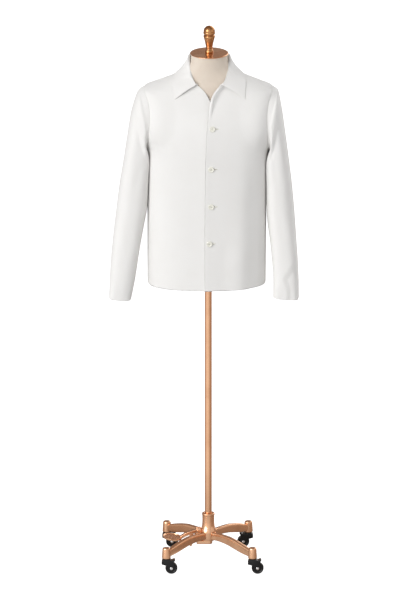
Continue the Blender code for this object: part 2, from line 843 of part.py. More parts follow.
def wheel(name, place, way):
    # A tyre with rounded shoulders on a hub, bored for the axle. Its lowest facet is level.
    bore = axle_radius + axle_clearance
    half = wheel_width / 2
    profile = [
        (bore, -half),
        (bore, half),
        (6.5, half),
        (7.5, half - 1.2),
        (13.5, half - 1.2),
        (16.5, half),
        (wheel_radius, half - 2),
        (wheel_radius, 2 - half),
        (16.5, -half),
        (13.5, 1.2 - half),
        (7.5, 1.2 - half),
        (6.5, -half),
    ]
    count = 16
    # the facets' flats, not their corners, touch the floor
    corner = wheel_radius / math.cos(math.pi / count)
    points = []
    for radius, along in profile:
        radius = corner if radius == wheel_radius else radius
        for k in range(count):
            turn = 2 * math.pi * (k + 0.5) / count
            points.append((radius * math.sin(turn), along, -radius * math.cos(turn)))
    rows = len(profile)
    faces = grid_faces(count, rows, closed=True)
    faces += [[(rows - 1) * count + k, (rows - 1) * count + (k + 1) % count, (k + 1) % count, k] for k in range(count)]
    piece = add_mesh(name, points, faces, materials["tyre"])
    piece.location = ((place[0] + way * caster_trail) / 1000, place[1] / 1000, wheel_radius / 1000)
    return piece


def pedal_bracket():
    # Two ears and a pin at the hub's side, on a flat plate bolted under the hub.
    x, y, z = pedal_pivot
    ear = [(-38, 96), (-38, 104), (-34, 107), (-23.4, 107), (-23.4, 88), (-33, 90)]
    ears = [prism(f"pedal_ear_{n}", ear, low, low + 4, materials["rose_brass"]) for n, low in (("front", -10.5), ("back", 6.5))]
    pin = prism(
        "pedal_pin",
        [(x + 3 * math.cos(a), z + 3 * math.sin(a)) for a in (2 * math.pi * k / 12 for k in range(12))],
        -12,
        12,
        materials["rose_brass"],
    )
    joined(ears[0], pin)
    joined(ears[0], ears[1])
    ears[0].name = "pedal_bracket"
    return ears[0]


def underside_plate():
    # The flat bar bolted under the hub.
    outline = [(-37, -11), (-33, -15), (6, -15), (11, -10), (13, 0), (11, 10), (6, 15), (-33, 15), (-37, 11)]
    return bevelled(prism("underside_plate", outline, 56, 66.7, materials["rose_brass"], across="z"), 1.5, 1)


def pedal():
    # A knuckle on the pin, a flat arm down to the side, and a pierced oval foot plate with a raised rim.
    x, y, z = pedal_pivot
    knuckle = [(x + 6.2 * math.cos(a), z + 6.2 * math.sin(a)) for a in (2 * math.pi * k / 16 for k in range(16))]
    piece = prism("pedal", knuckle, -6, 6, materials["rose_brass"])
    arm = prism(
        "pedal_arm",
        [(x - 1, z + 4), (x - 4, z - 5.5), (-84, 72.5), (-88, 74.5), (-88, 79), (-84, 80)],
        -6,
        6,
        materials["rose_brass"],
    )
    stop = prism(
        "pedal_stop", [(-46, 88), (-60, 84), (-60, 52), (-55, 45), (-50, 52)], -4, 4, materials["rose_brass"]
    )
    plate_x, plate_z = -113.0, 76.0
    oval = [(30 * math.cos(a), 34 * math.sin(a)) for a in (2 * math.pi * k / 28 for k in range(28))]
    plate = chain(
        "pedal_plate",
        [[(plate_x + s * px, s * py, plate_z + h) for px, py in oval] for s, h in ((0.96, -4), (1, -2.5), (1, 3), (0.9, 3), (0.88, 0.5))],
        materials["rose_brass"],
    )
    hole = prism(
        "pedal_bore",
        [(x + 3.3 * math.cos(a), z + 3.3 * math.sin(a)) for a in (2 * math.pi * k / 12 for k in range(12))],
        -13,
        13,
        materials["rose_brass"],
    )
    joined(piece, arm)
    joined(piece, stop)
    joined(piece, plate)
    joined(piece, hole, "DIFFERENCE")
    return piece


# ---------------------------------------------------------------- the whole object
for old in list(bpy.data.objects):
    bpy.data.objects.remove(old)

stand_axis = bpy.data.objects.new("stand_axis", None)
bpy.context.scene.collection.objects.link(stand_axis)
stand_axis.location.x = pole_from_origin / 1000

materials = {
    "cloth": finish("cloth", (0.87, 0.86, 0.84), 0.85),
    "button": finish("button", (0.80, 0.79, 0.70), 0.3),
    "linen": finish("linen", (0.69, 0.62, 0.53), 0.85),
    "rose_brass": finish("rose_brass", (0.72, 0.47, 0.31), 0.3, 1.0),
    "caster": finish("caster", (0.03, 0.03, 0.032), 0.4),
    "tyre": finish("tyre", (0.04, 0.04, 0.04), 0.6),
}

front_panel("front_left", 1)
front_panel("front_right", -1)
back_panel("back")
collar_panel("collar")
sleeve("sleeve_left", 1)
sleeve("sleeve_right", -1)
for number in (1, 2, 3, 4):
    button(number)
dress_form()
neck_cap()
finial()
pole()
hub()
underside_plate()
pedal_bracket()
pedal()
for corner_name, (place, trail_way) in casters.items():
    leg("leg_" + corner_name, place)
    swivel("swivel_" + corner_name, place, trail_way)
    wheel("wheel_" + corner_name, place, trail_way)
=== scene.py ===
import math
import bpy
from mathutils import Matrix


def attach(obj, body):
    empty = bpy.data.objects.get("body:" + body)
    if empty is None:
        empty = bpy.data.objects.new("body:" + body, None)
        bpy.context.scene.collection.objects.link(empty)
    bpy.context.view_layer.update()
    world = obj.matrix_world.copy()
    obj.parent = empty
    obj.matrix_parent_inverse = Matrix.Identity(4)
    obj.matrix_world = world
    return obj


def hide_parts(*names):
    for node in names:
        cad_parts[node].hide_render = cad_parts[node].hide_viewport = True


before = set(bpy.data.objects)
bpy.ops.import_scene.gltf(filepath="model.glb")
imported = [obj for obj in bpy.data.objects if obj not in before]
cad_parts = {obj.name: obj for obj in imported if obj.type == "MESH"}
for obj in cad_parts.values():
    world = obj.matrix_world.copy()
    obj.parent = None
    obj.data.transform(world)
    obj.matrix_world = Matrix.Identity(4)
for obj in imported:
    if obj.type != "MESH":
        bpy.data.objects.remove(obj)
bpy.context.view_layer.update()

# A short cream blazer with a point collar and four buttons,
# on a limbless dress form with a wheeled copper stand.
# Lengths are millimetres from the pole's axis. makeMesh() turns them into metres in the frame's own place.
from types import SimpleNamespace

import bmesh
import bpy
import numpy as np
from mathutils import Matrix, Vector

poleFromOrigin = 13.5
cloth = 1.9
seam = 0.3
print("frame loaded:", len(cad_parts), "nodes")


# ---- smooth tables and small curves

def ease(low, high, value):
    t = np.clip((value - low) / (high - low), 0.0, 1.0)
    return t * t * (3 - 2 * t)


def hump(value, centre, width):
    return np.exp(-((2 * (value - centre) / width) ** 2))


def softMax(a, b, blend=3.0):
    return 0.5 * (a + b + np.sqrt((a - b) ** 2 + blend * blend))


def monotoneSlopes(keys, values):
    steps = np.diff(values) / np.diff(keys)
    slopes = np.concatenate([[steps[0]], (steps[:-1] + steps[1:]) / 2, [steps[-1]]])
    for k, step in enumerate(steps):
        if step == 0:
            slopes[k] = slopes[k + 1] = 0
            continue
        if k and steps[k - 1] * step < 0:
            slopes[k] = 0
        size = math.hypot(slopes[k], slopes[k + 1]) / abs(step)
        if size > 3:
            slopes[k] *= 3 / size
            slopes[k + 1] *= 3 / size
    return slopes


def splineParts(t):
    # the shares of the start, the end, the leaving slope and the arriving slope
    return (2 * t + 1) * (1 - t) ** 2, t * t * (3 - 2 * t), t * (1 - t) ** 2, t * t * (t - 1)


def smoothTable(columns, *rows):
    # returns a reader: reader(key).column, along a smooth curve that never overshoots the rows
    names = columns.split()
    values = np.array(rows, float)
    keys = values[:, 0]
    slopes = [monotoneSlopes(keys, column) for column in values.T]

    def read(key):
        key = np.clip(np.asarray(key, float), keys[0], keys[-1])
        k = np.clip(np.searchsorted(keys, key, side="right") - 1, 0, len(keys) - 2)
        width = keys[k + 1] - keys[k]
        low, high, leave, arrive = splineParts((key - keys[k]) / width)
        start, end = leave * width, arrive * width
        found = SimpleNamespace()
        for name, column, slope in zip(names, values.T, slopes):
            setattr(found, name,
                low * column[k] + high * column[k + 1] + start * slope[k] + end * slope[k + 1])
        return found

    return read


def unit(vectors):
    return vectors / np.maximum(np.linalg.norm(vectors, axis=-1, keepdims=True), 1e-12)


def nearPath(across, along, path):
    # distance to a line through points, the share of the way along it, and which side of it the point is on
    path = np.array(path, float)
    best = np.full(np.shape(across), 1e9)
    share, side = np.zeros(np.shape(across)), np.ones(np.shape(across))
    lengths = np.linalg.norm(np.diff(path, axis=0), axis=1)
    before, whole = 0.0, lengths.sum()
    for start, end, length in zip(path, path[1:], lengths):
        way = (end - start) / length
        du, dv = across - start[0], along - start[1]
        t = np.clip(du * way[0] + dv * way[1], 0, length)
        gap = np.hypot(du - t * way[0], dv - t * way[1])
        closer = gap < best
        best = np.where(closer, gap, best)
        share = np.where(closer, (before + t) / whole, share)
        side = np.where(closer, np.sign(way[0] * dv - way[1] * du + 1e-9), side)
        before += length
    return best, share, side


def fold(across, along, path, height, width, fadeIn=0.2, fadeOut=0.35, ridge=0.0):
    # a soft trough (height below 0) or ridge along a path, with a lower one of the other kind beside it
    gap, share, side = nearPath(across, along, path)
    ends = ease(-0.02, fadeIn, share) * (1 - ease(1 - fadeOut, 1.02, share)) if fadeOut else ease(-0.02,
        fadeIn, share)
    found = np.exp(-((2 * gap / width) ** 2))
    if ridge:
        found = found - abs(ridge) * np.exp(-((2 * (gap * side - np.sign(ridge) * 0.8 * width) / width) ** 2))
    return height * ends * found


# ---- meshes

def unrolled(uv, corners, quads):
    # a quad that closes a ring goes on past the ring's end, instead of back over the whole pattern
    found = np.asarray(uv, np.float32).reshape(-1, 2)[corners]
    across = found[:4 * quads, 0].reshape(-1, 4)
    far = across.max(axis=1, keepdims=True)
    found[:4 * quads, 0] = np.where(far - across > 0.1, far + 0.003, across).ravel()
    return found.ravel()


def addObject(name, data):
    thing = bpy.data.objects.new(name, data)
    bpy.context.scene.collection.objects.link(thing)
    return thing


def makeMesh(name, points, faces, material, uv=None, sharpAngle=40):
    mesh = bpy.data.meshes.new(name)
    points = (np.asarray(points, float).reshape(-1, 3) + (poleFromOrigin, 0, 0)) / 1000
    mesh.from_pydata(points.tolist(), [], [list(map(int, face)) for face in faces])
    if uv is not None:
        layer = mesh.uv_layers.new(name="grain")
        corners = np.empty(len(mesh.loops), np.int32)
        mesh.loops.foreach_get("vertex_index", corners)
        layer.data.foreach_set("uv", unrolled(uv, corners, sum(len(face) == 4 for face in faces)))
    shape = bmesh.new()
    shape.from_mesh(mesh)
    bmesh.ops.recalc_face_normals(shape, faces=shape.faces)
    shape.to_mesh(mesh)
    shape.free()
    mesh.shade_smooth()
    if sharpAngle:
        mesh.set_sharp_from_angle(angle=math.radians(sharpAngle))
    mesh.materials.append(material)
    return addObject(name, mesh)


def gridFaces(rows, columns, closed=False, offset=0, reverse=False):
    index = np.arange(rows * columns).reshape(rows, columns) + offset
    if closed:
        index = np.concatenate([index, index[:, :1]], axis=1)
    quads = np.stack([index[:-1, :-1], index[:-1, 1:], index[1:, 1:], index[1:, :-1]], axis=-1).reshape(-1, 4)
    return quads[:, ::-1] if reverse else quads


def gridNormals(points, closed=False):
    if closed:
        padded = np.concatenate([points[:, -1:], points, points[:, :1]], axis=1)
        across = (padded[:, 2:] - padded[:, :-2])
    else:
        across = np.gradient(points, axis=1)
    down = np.gradient(points, axis=0)
    return unit(np.cross(across, down))


def runLengths(points, axis, middle=0):
    steps = np.linalg.norm(np.diff(points, axis=axis), axis=-1)
    total = np.cumsum(steps, axis=axis)
    total = np.concatenate([np.zeros_like(np.take(total, [0], axis=axis)), total], axis=axis)
    return total - np.take(total, [middle], axis=axis)


clothEdge = {"rounding": 0.9, "sewnRounding": 0.12, "arc": (40, 90, 140)}


def clothShell(name, outer, thickness, material, outward=1, closed=False, middle=0, sewn=()):
    # a sheet of cloth from the grid of its right side: a wrong side one thickness below, and rounded edges
    # sewn names the sides that a seam holds, which are rounded less: bottom is the first row and top the last
    rows, columns = outer.shape[:2]
    normals = gridNormals(outer, closed) * outward
    thickness = np.broadcast_to(thickness, (rows, columns))
    inner = outer - normals * thickness[..., None]
    edges = []
    if closed:
        for row, beside in ((0, 1), (rows - 1, rows - 2)):
            edges.append(([(row, c) for c in range(columns)], outer[row] - outer[beside]))
    else:
        loop = [(0, c) for c in range(columns - 1)] + [(r, columns - 1) for r in range(rows - 1)]
        loop += [(rows - 1, c) for c in range(columns - 1, 0, -1)] + [(r, 0) for r in range(rows - 1, 0, -1)]
        away = []
        for r, c in loop:
            way = np.zeros(3)
            if r in (0, rows - 1):
                way += unit(outer[r, c] - outer[1 if r == 0 else rows - 2, c])
            if c in (0, columns - 1):
                way += unit(outer[r, c] - outer[r, 1 if c == 0 else columns - 2])
            away.append(way)
        edges.append((loop, np.array(away)))
    uv = np.stack([runLengths(outer, 1, middle), runLengths(outer, 0)], axis=-1) / 1000
    trimmedOuter, trimmedInner = outer.copy(), inner.copy()
    count = rows * columns
    rimPoints, rimFaces, rimUvs = [], [], []
    at = 2 * count
    for loop, away in edges:
        r, c = np.array(loop).T
        away = unit(away)
        thick = thickness[r, c][:, None]
        rounding = np.full(len(r), clothEdge["rounding"])
        sides = {"bottom": r == 0, "top": r == rows - 1, "start": c == 0, "end": c == columns - 1}
        for sideName in sewn:
            rounding[sides[sideName]] = clothEdge["sewnRounding"]
        reach = rounding[:, None] * thick / 2
        centre = (outer[r, c] + inner[r, c]) / 2 - away * reach
        trimmedOuter[r, c] = outer[r, c] - away * reach
        trimmedInner[r, c] = inner[r, c] - away * reach
        previous = r * columns + c
        for angle in clothEdge["arc"]:
            turn = math.radians(angle)
            ring = centre + normals[r, c] * thick / 2 * math.cos(turn) + away * reach * math.sin(turn)
            rimPoints.append(ring)
            rimUvs.append(uv[r, c])
            here = at + np.arange(len(loop))
            at += len(loop)
            rimFaces.append(np.stack([previous, np.roll(previous, -1), np.roll(here, -1), here], axis=-1))
            previous = here
        last = count + r * columns + c
        rimFaces.append(np.stack([previous, np.roll(previous, -1), np.roll(last, -1), last], axis=-1))
    points = np.concatenate([trimmedOuter.reshape(-1, 3), trimmedInner.reshape(-1, 3), *rimPoints])
    uvs = np.concatenate([uv.reshape(-1, 2), uv.reshape(-1, 2), *rimUvs])
    faces = np.concatenate([
        gridFaces(rows, columns, closed), gridFaces(rows, columns, closed, offset=count, reverse=True),
        *rimFaces
    ])
    return makeMesh(name, points, faces, material, uv=uvs, sharpAngle=None)


def flatArea(piece):
    # half the surface of a closed thin sheet, in square metres
    return sum(face.area for face in piece.data.polygons) / 2


def cappedFaces(rows, columns, offset=0, start=True, end=True):
    # a closed grid of rings, with one face over each end
    faces = [list(face) for face in gridFaces(rows, columns, closed=True, offset=offset)]
    if start:
        faces.append([offset + k for k in range(columns)])
    if end:
        faces.append([offset + (rows - 1) * columns + k for k in range(columns)])
    return faces


def ringSolid(name, rings, material, sharpAngle=40, capStart=True, capEnd=True):
    # a solid through rings with equally many points, each end closed by one face
    rings = np.array(rings, float)
    faces = cappedFaces(*rings.shape[:2], start=capStart, end=capEnd)
    return makeMesh(name, rings, faces, material, sharpAngle=sharpAngle)


def turnedRings(profile, segments, centre=(0.0, 0.0)):
    turn = 2 * np.pi * (np.arange(segments) + 0.5) / segments
    return [
        np.stack([centre[0] + r * np.cos(turn), centre[1] + r * np.sin(turn), np.full(segments, z)], axis=-1)
        for r, z in profile
    ]


def rounded(profile, radius=0.8, steps=4):
    # a profile of (radius, height) points with each corner turned into an arc
    # a third value is that corner's own radius
    rows = [(row + (radius,))[:3] for row in profile]
    found = [rows[0][:2]]
    for (ax, ay, _), (bx, by, own), (cx, cy, _) in zip(rows, rows[1:], rows[2:]):
        corner = np.array((bx, by))
        back, ahead = np.array((ax, ay)) - corner, np.array((cx, cy)) - corner
        reach = min(own, 0.45 * np.linalg.norm(back), 0.45 * np.linalg.norm(ahead))
        start, end = corner + unit(back) * reach, corner + unit(ahead) * reach
        for t in np.linspace(0, 1, steps + 1):
            found.append(tuple((1 - t) ** 2 * start + 2 * t * (1 - t) * corner + t * t * end))
    found.append(rows[-1][:2])
    return found


def dress(piece, body, node=None):
    # what a piece stands in for and moves with
    if node:
        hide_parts(node)
    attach(piece, body)


def joined(name, parts):
    # several closed shapes as one piece
    for part in parts[1:]:
        part.data.materials.clear()
        part.data.materials.append(parts[0].data.materials[0])
    with bpy.context.temp_override(active_object=parts[0], selected_editable_objects=parts):
        bpy.ops.object.join()
    parts[0].name = name
    return parts[0]


def cutFrom(piece, cutters):
    # real holes and pockets, cut once and kept as a plain mesh
    for cutter in cutters:
        boolean = piece.modifiers.new("cut", "BOOLEAN")
        boolean.object, boolean.operation, boolean.solver = cutter, "DIFFERENCE", "EXACT"
    settle(piece)
    for cutter in cutters:
        bpy.data.objects.remove(cutter)
    return piece


def settle(piece, sharpAngle=40):
    graph = bpy.context.evaluated_depsgraph_get()
    mesh = bpy.data.meshes.new_from_object(piece.evaluated_get(graph))
    piece.modifiers.clear()
    piece.data = mesh
    mesh.shade_smooth()
    if sharpAngle:
        mesh.set_sharp_from_angle(angle=math.radians(sharpAngle))
    return piece


def softened(piece, width, segments=3, angle=35):
    bevel = piece.modifiers.new("rounded edges", "BEVEL")
    bevel.width, bevel.segments = width / 1000, segments
    bevel.limit_method, bevel.angle_limit = "ANGLE", math.radians(angle)
    bevel.harden_normals = False
    return settle(piece, 50)


def prism(name, outline, low, high, material, across="y"):
    outline = np.array(outline, float)
    rings = []
    for level in (low, high):
        flat = np.full(len(outline), level)
        order = (outline[:, 0], flat, outline[:, 1]) if across == "y" else (outline[:, 0], outline[:, 1],
            flat)
        rings.append(np.stack(order, axis=-1))
    return ringSolid(name, rings, material)


def disc(x, z, radius, count):
    turn = 2 * np.pi * np.arange(count) / count
    return np.stack([x + radius * np.cos(turn), z + radius * np.sin(turn)], axis=-1)


def tube(points, radius, around=8):
    # rings round a line of points, for threads and stitches
    points = np.array(points, float)
    ways = unit(np.gradient(points, axis=0))
    side = unit(np.cross(ways, np.array((0.31, 0.52, 0.79))))
    other = np.cross(ways, side)
    turn = 2 * np.pi * np.arange(around) / around
    return points[:, None] + radius * (
        np.cos(turn)[None, :, None] * side[:, None] + np.sin(turn)[None, :, None] * other[:, None]
    )


def tubesMesh(name, lines, radius, material, around=8):
    points, faces, at = [], [], 0
    for line in lines:
        rings = tube(line, radius, around)
        rows = len(rings)
        points.append(rings.reshape(-1, 3))
        faces += cappedFaces(rows, around, at)
        at += rows * around
    return makeMesh(name, np.concatenate(points), faces, material, sharpAngle=60)


# ---- shader node groups, each built once

def newGroup(name, inputs, outputs):
    group = bpy.data.node_groups.new(name, "ShaderNodeTree")
    for label, kind, value in inputs:
        socket = group.interface.new_socket(label, in_out="INPUT", socket_type=kind)
        socket.default_value = value
    for label, kind in outputs:
        group.interface.new_socket(label, in_out="OUTPUT", socket_type=kind)
    return group, group.nodes.new("NodeGroupInput"), group.nodes.new("NodeGroupOutput")


def addNode(tree, kind, links=None, **settings):
    # links maps an input's name or place to a value or to the output that feeds it
    node = tree.nodes.new("ShaderNode" + kind)
    for key, value in settings.items():
        setattr(node, key, value)
    for key, value in (links or {}).items():
        if isinstance(value, bpy.types.NodeSocket):
            tree.links.new(value, node.inputs[key])
        else:
            node.inputs[key].default_value = value
    return node


def math2(tree, operation, a, b=0.0, c=0.0):
    return addNode(tree, "Math", {0: a, 1: b, 2: c}, operation=operation).outputs[0]


def mixColour(tree, factor, a, b, blend="MIX"):
    node = addNode(tree, "Mix", {0: factor, 6: a, 7: b}, data_type="RGBA", blend_type=blend)
    return node.outputs[2]


def mapRange(tree, value, low, high, toLow=0.0, toHigh=1.0):
    links = {"Value": value, "From Min": low, "From Max": high, "To Min": toLow, "To Max": toHigh}
    return addNode(tree, "MapRange", links, interpolation_type="SMOOTHSTEP").outputs[0]


def buildWeave():
    # warp and weft threads over each other on the cloth's own grain, with uneven yarn and a few slubs
    group, given, result = newGroup(
        "wovenThreads",
        [
            ("Threads per metre", "NodeSocketFloat", 1500.0), ("Twill", "NodeSocketFloat", 1.0),
            ("Unevenness", "NodeSocketFloat", 0.3), ("Slubs", "NodeSocketFloat", 0.1),
        ],
        [("Height", "NodeSocketFloat"), ("Shade", "NodeSocketFloat"), ("Mottle", "NodeSocketFloat")],
    )
    grain = addNode(group, "UVMap", uv_map="grain")
    noise = addNode(group, "TexNoise", {"Vector": grain.outputs[0], "Scale": 260.0, "Detail": 2.0})
    split = addNode(group, "SeparateXYZ", {0: grain.outputs[0]})
    pitch = math2(group, "MULTIPLY", given.outputs["Threads per metre"], 2 * math.pi)
    wander = math2(group, "MULTIPLY", noise.outputs[0],
        math2(group, "MULTIPLY", given.outputs["Unevenness"], 6.0))
    u = math2(group, "ADD", math2(group, "MULTIPLY", split.outputs[0], pitch), wander)
    v = math2(group, "ADD", math2(group, "MULTIPLY", split.outputs[1], pitch), wander)
    warp = math2(group, "SINE", u)
    weft = math2(group, "SINE", v)
    plain = math2(group, "MULTIPLY", warp, weft)
    diagonal = math2(group, "SINE", math2(group, "MULTIPLY", math2(group, "ADD", u, v), 0.5))
    threads = math2(group, "ADD", math2(group, "MULTIPLY", diagonal, given.outputs["Twill"]),
                    math2(group, "MULTIPLY", plain, math2(group, "SUBTRACT", 1.0, given.outputs["Twill"])))
    stretched = addNode(group, "Mapping", {"Vector": grain.outputs[0], "Scale": (900.0, 60.0, 1.0)})
    slub = addNode(group, "TexNoise", {"Vector": stretched.outputs[0], "Scale": 1.0, "Detail": 1.0})
    thick = math2(group, "MULTIPLY", mapRange(group, slub.outputs[0], 0.6, 0.75), given.outputs["Slubs"])
    large = addNode(group, "TexNoise", {"Vector": grain.outputs[0], "Scale": 14.0, "Detail": 3.0,
        "Roughness": 0.6})
    height = math2(group, "ADD", math2(group, "MULTIPLY_ADD", threads, 0.5, 0.5), thick)
    group.links.new(height, result.inputs["Height"])
    shade = math2(group, "SUBTRACT", height, math2(group, "MULTIPLY", thick, 1.6))
    group.links.new(mapRange(group, shade, 0.0, 1.0), result.inputs["Shade"])
    group.links.new(mapRange(group, large.outputs[0], 0.3, 0.7), result.inputs["Mottle"])
    return group


def buildPatina():
    # plating that is darker in hollows and brighter along edges, with cloudy tarnish and fine polishing lines
    group, given, result = newGroup(
        "platedPatina",
        [
            ("Metal", "NodeSocketColor", (0.8, 0.5, 0.35, 1)),
            ("Tarnish", "NodeSocketColor", (0.4, 0.22, 0.15, 1)),
            ("Bright", "NodeSocketColor", (0.95, 0.75, 0.6, 1)), ("Cloudiness", "NodeSocketFloat", 0.3),
            ("Edge wear", "NodeSocketFloat", 0.4), ("Roughness", "NodeSocketFloat", 0.25),
            ("Cloud scale", "NodeSocketFloat", 30.0), ("Line scale", "NodeSocketFloat", 900.0),
        ],
        [("Colour", "NodeSocketColor"), ("Roughness", "NodeSocketFloat"), ("Height", "NodeSocketFloat")],
    )
    place = addNode(group, "TexCoord").outputs["Object"]
    clouds = addNode(group, "TexNoise", {"Vector": place, "Scale": given.outputs["Cloud scale"],
        "Detail": 4.0})
    lined = addNode(group, "Mapping", {"Vector": place, "Scale": (0.06, 0.06, 1.0)})
    lines = addNode(group, "TexNoise", {"Vector": lined.outputs[0], "Scale": given.outputs["Line scale"],
        "Detail": 1.0})
    point = addNode(group, "NewGeometry").outputs["Pointiness"]
    hollow = mapRange(group, point, 0.42, 0.5, 1.0, 0.0)
    edge = mapRange(group, point, 0.52, 0.62)
    cloud = math2(group, "MULTIPLY", mapRange(group, clouds.outputs[0], 0.35, 0.7),
        given.outputs["Cloudiness"])
    dull = math2(group, "MAXIMUM", cloud, math2(group, "MULTIPLY", hollow, 0.8))
    colour = mixColour(group, dull, given.outputs["Metal"], given.outputs["Tarnish"])
    colour = mixColour(group, math2(group, "MULTIPLY", edge, given.outputs["Edge wear"]), colour,
        given.outputs["Bright"])
    group.links.new(colour, result.inputs["Colour"])
    rough = math2(group, "ADD", given.outputs["Roughness"], math2(group, "MULTIPLY", dull, 0.18))
    rough = math2(group, "ADD", rough, math2(group, "MULTIPLY", math2(group, "SUBTRACT", lines.outputs[0],
        0.5), 0.08))
    group.links.new(rough, result.inputs["Roughness"])
    relief = math2(group, "ADD", lines.outputs[0], math2(group, "MULTIPLY", clouds.outputs[0], 1.5))
    group.links.new(relief, result.inputs["Height"])
    return group


def buildMouldedGrain():
    # moulded plastic and rubber: fine grain, and dust that settles on upper faces
    group, given, result = newGroup(
        "mouldedGrain",
        [
            ("Colour", "NodeSocketColor", (0.03, 0.03, 0.03, 1)),
            ("Dust", "NodeSocketColor", (0.2, 0.19, 0.18, 1)),
            ("Dust amount", "NodeSocketFloat", 0.2), ("Roughness", "NodeSocketFloat", 0.4),
            ("Grain scale", "NodeSocketFloat", 900.0),
        ],
        [("Colour", "NodeSocketColor"), ("Roughness", "NodeSocketFloat"), ("Height", "NodeSocketFloat")],
    )
    place = addNode(group, "TexCoord").outputs["Object"]
    grain = addNode(group, "TexNoise", {"Vector": place, "Scale": given.outputs["Grain scale"],
        "Detail": 2.0})
    patches = addNode(group, "TexNoise", {"Vector": place, "Scale": 60.0, "Detail": 3.0})
    up = addNode(group, "SeparateXYZ", {0: addNode(group, "NewGeometry").outputs["Normal"]}).outputs[2]
    settled = math2(group, "MULTIPLY", mapRange(group, up, -0.2, 1.0),
        mapRange(group, patches.outputs[0], 0.35, 0.75))
    dust = math2(group, "MULTIPLY", settled, given.outputs["Dust amount"])
    group.links.new(mixColour(group, dust, given.outputs["Colour"], given.outputs["Dust"]),
        result.inputs["Colour"])
    rough = math2(group, "ADD", given.outputs["Roughness"], math2(group, "MULTIPLY", dust, 0.5))
    group.links.new(rough, result.inputs["Roughness"])
    group.links.new(grain.outputs[0], result.inputs["Height"])
    return group


weaveGroup, patinaGroup, grainGroup = buildWeave(), buildPatina(), buildMouldedGrain()


# ---- materials

def startMaterial(name, **sockets):
    material = bpy.data.materials.new(name)
    material.use_nodes = True
    shader = material.node_tree.nodes["Principled BSDF"]
    for label, value in sockets.items():
        shader.inputs[label.replace("_", " ")].default_value = value
    return material, material.node_tree, shader


def addBump(tree, shader, height, distance, strength=1.0):
    bump = addNode(tree, "Bump", {"Height": height, "Distance": distance, "Strength": strength})
    tree.links.new(bump.outputs[0], shader.inputs["Normal"])
    return bump


def clothMaterial(name, look):
    material, tree, shader = startMaterial(
        name, Roughness=look["roughness"], Sheen_Weight=look["sheen"], Sheen_Roughness=0.45,
        Specular_IOR_Level=0.25,
    )
    weave = tree.nodes.new("ShaderNodeGroup")
    weave.node_tree = weaveGroup
    for label, value in look["weave"].items():
        weave.inputs[label].default_value = value
    ground = mixColour(tree, weave.outputs["Mottle"], (*look["light"], 1), (*look["warm"], 1))
    gaps = math2(tree, "MULTIPLY", math2(tree, "SUBTRACT", 1.0, weave.outputs["Shade"]), look["depth"])
    colour = mixColour(tree, gaps, ground, (*look["gap"], 1))
    tree.links.new(colour, shader.inputs["Base Color"])
    addBump(tree, shader, weave.outputs["Height"], look["relief"])
    return material


def groupMaterial(name, nodeGroup, look, relief, **sockets):
    material, tree, shader = startMaterial(name, **sockets)
    made = tree.nodes.new("ShaderNodeGroup")
    made.node_tree = nodeGroup
    for label, value in look.items():
        made.inputs[label].default_value = (*value, 1) if isinstance(value, tuple) else value
    tree.links.new(made.outputs["Colour"], shader.inputs["Base Color"])
    tree.links.new(made.outputs["Roughness"], shader.inputs["Roughness"])
    addBump(tree, shader, made.outputs["Height"], relief)
    return material


def platedMaterial(name, look):
    return groupMaterial(name, patinaGroup, look, 0.00004, Metallic=1.0)


def mouldedMaterial(name, look, **sockets):
    return groupMaterial(name, grainGroup, look, 0.00003, **sockets)


creamWool = clothMaterial("creamWool", {
    "light": (0.86, 0.85, 0.835), "warm": (0.85, 0.838, 0.82), "gap": (0.70, 0.685, 0.66), "depth": 0.18,
    "roughness": 0.85, "sheen": 0.15, "relief": 0.00012,
    "weave": {"Threads per metre": 1250.0, "Twill": 0.8, "Unevenness": 0.25, "Slubs": 0.15},
})
creamThread = clothMaterial("creamThread", {
    "light": (0.80, 0.79, 0.72), "warm": (0.76, 0.75, 0.66), "gap": (0.60, 0.58, 0.50), "depth": 0.3,
    "roughness": 0.6, "sheen": 0.1, "relief": 0.00005,
    "weave": {"Threads per metre": 2500.0, "Twill": 1.0, "Unevenness": 0.1, "Slubs": 0.0},
})
natureLinen = clothMaterial("natureLinen", {
    "light": (0.81, 0.72, 0.62), "warm": (0.77, 0.67, 0.57), "gap": (0.53, 0.44, 0.36), "depth": 0.35,
    "roughness": 0.9, "sheen": 0.1, "relief": 0.0002,
    "weave": {"Threads per metre": 700.0, "Twill": 0.0, "Unevenness": 0.6, "Slubs": 0.5},
})
roseCopper = platedMaterial("roseCopper", {
    "Metal": (0.84, 0.50, 0.31), "Tarnish": (0.56, 0.28, 0.15), "Bright": (0.96, 0.74, 0.56),
    "Cloudiness": 0.3, "Edge wear": 0.35, "Roughness": 0.2, "Cloud scale": 22.0, "Line scale": 700.0,
})
# the finial's plating, a darker copy of the cap's rose plating: its darker metal and tarnish colours are
# painted shade standing in for the dark surroundings it reflects; the cloudiness and worn edges are its own
paintedShadeBrass = platedMaterial("paintedShadeBrass", {
    "Metal": (0.55, 0.28, 0.12), "Tarnish": (0.22, 0.09, 0.04), "Bright": (0.85, 0.58, 0.30),
    "Cloudiness": 0.45, "Edge wear": 0.5, "Roughness": 0.14, "Cloud scale": 60.0, "Line scale": 900.0,
})
axleSteel = platedMaterial("axleSteel", {
    "Metal": (0.75, 0.75, 0.76), "Tarnish": (0.4, 0.4, 0.42), "Bright": (0.95, 0.95, 0.95),
    "Cloudiness": 0.2, "Edge wear": 0.3, "Roughness": 0.2, "Cloud scale": 120.0, "Line scale": 900.0,
})
casterBlack = mouldedMaterial("casterBlack", {
    "Colour": (0.006, 0.006, 0.007), "Dust": (0.06, 0.06, 0.06), "Dust amount": 0.1, "Roughness": 0.22,
    "Grain scale": 1400.0,
}, Specular_IOR_Level=0.35)
tyreBlack = mouldedMaterial("tyreBlack", {
    "Colour": (0.008, 0.008, 0.009), "Dust": (0.07, 0.07, 0.07), "Dust amount": 0.15, "Roughness": 0.3,
    "Grain scale": 900.0,
}, Specular_IOR_Level=0.3)
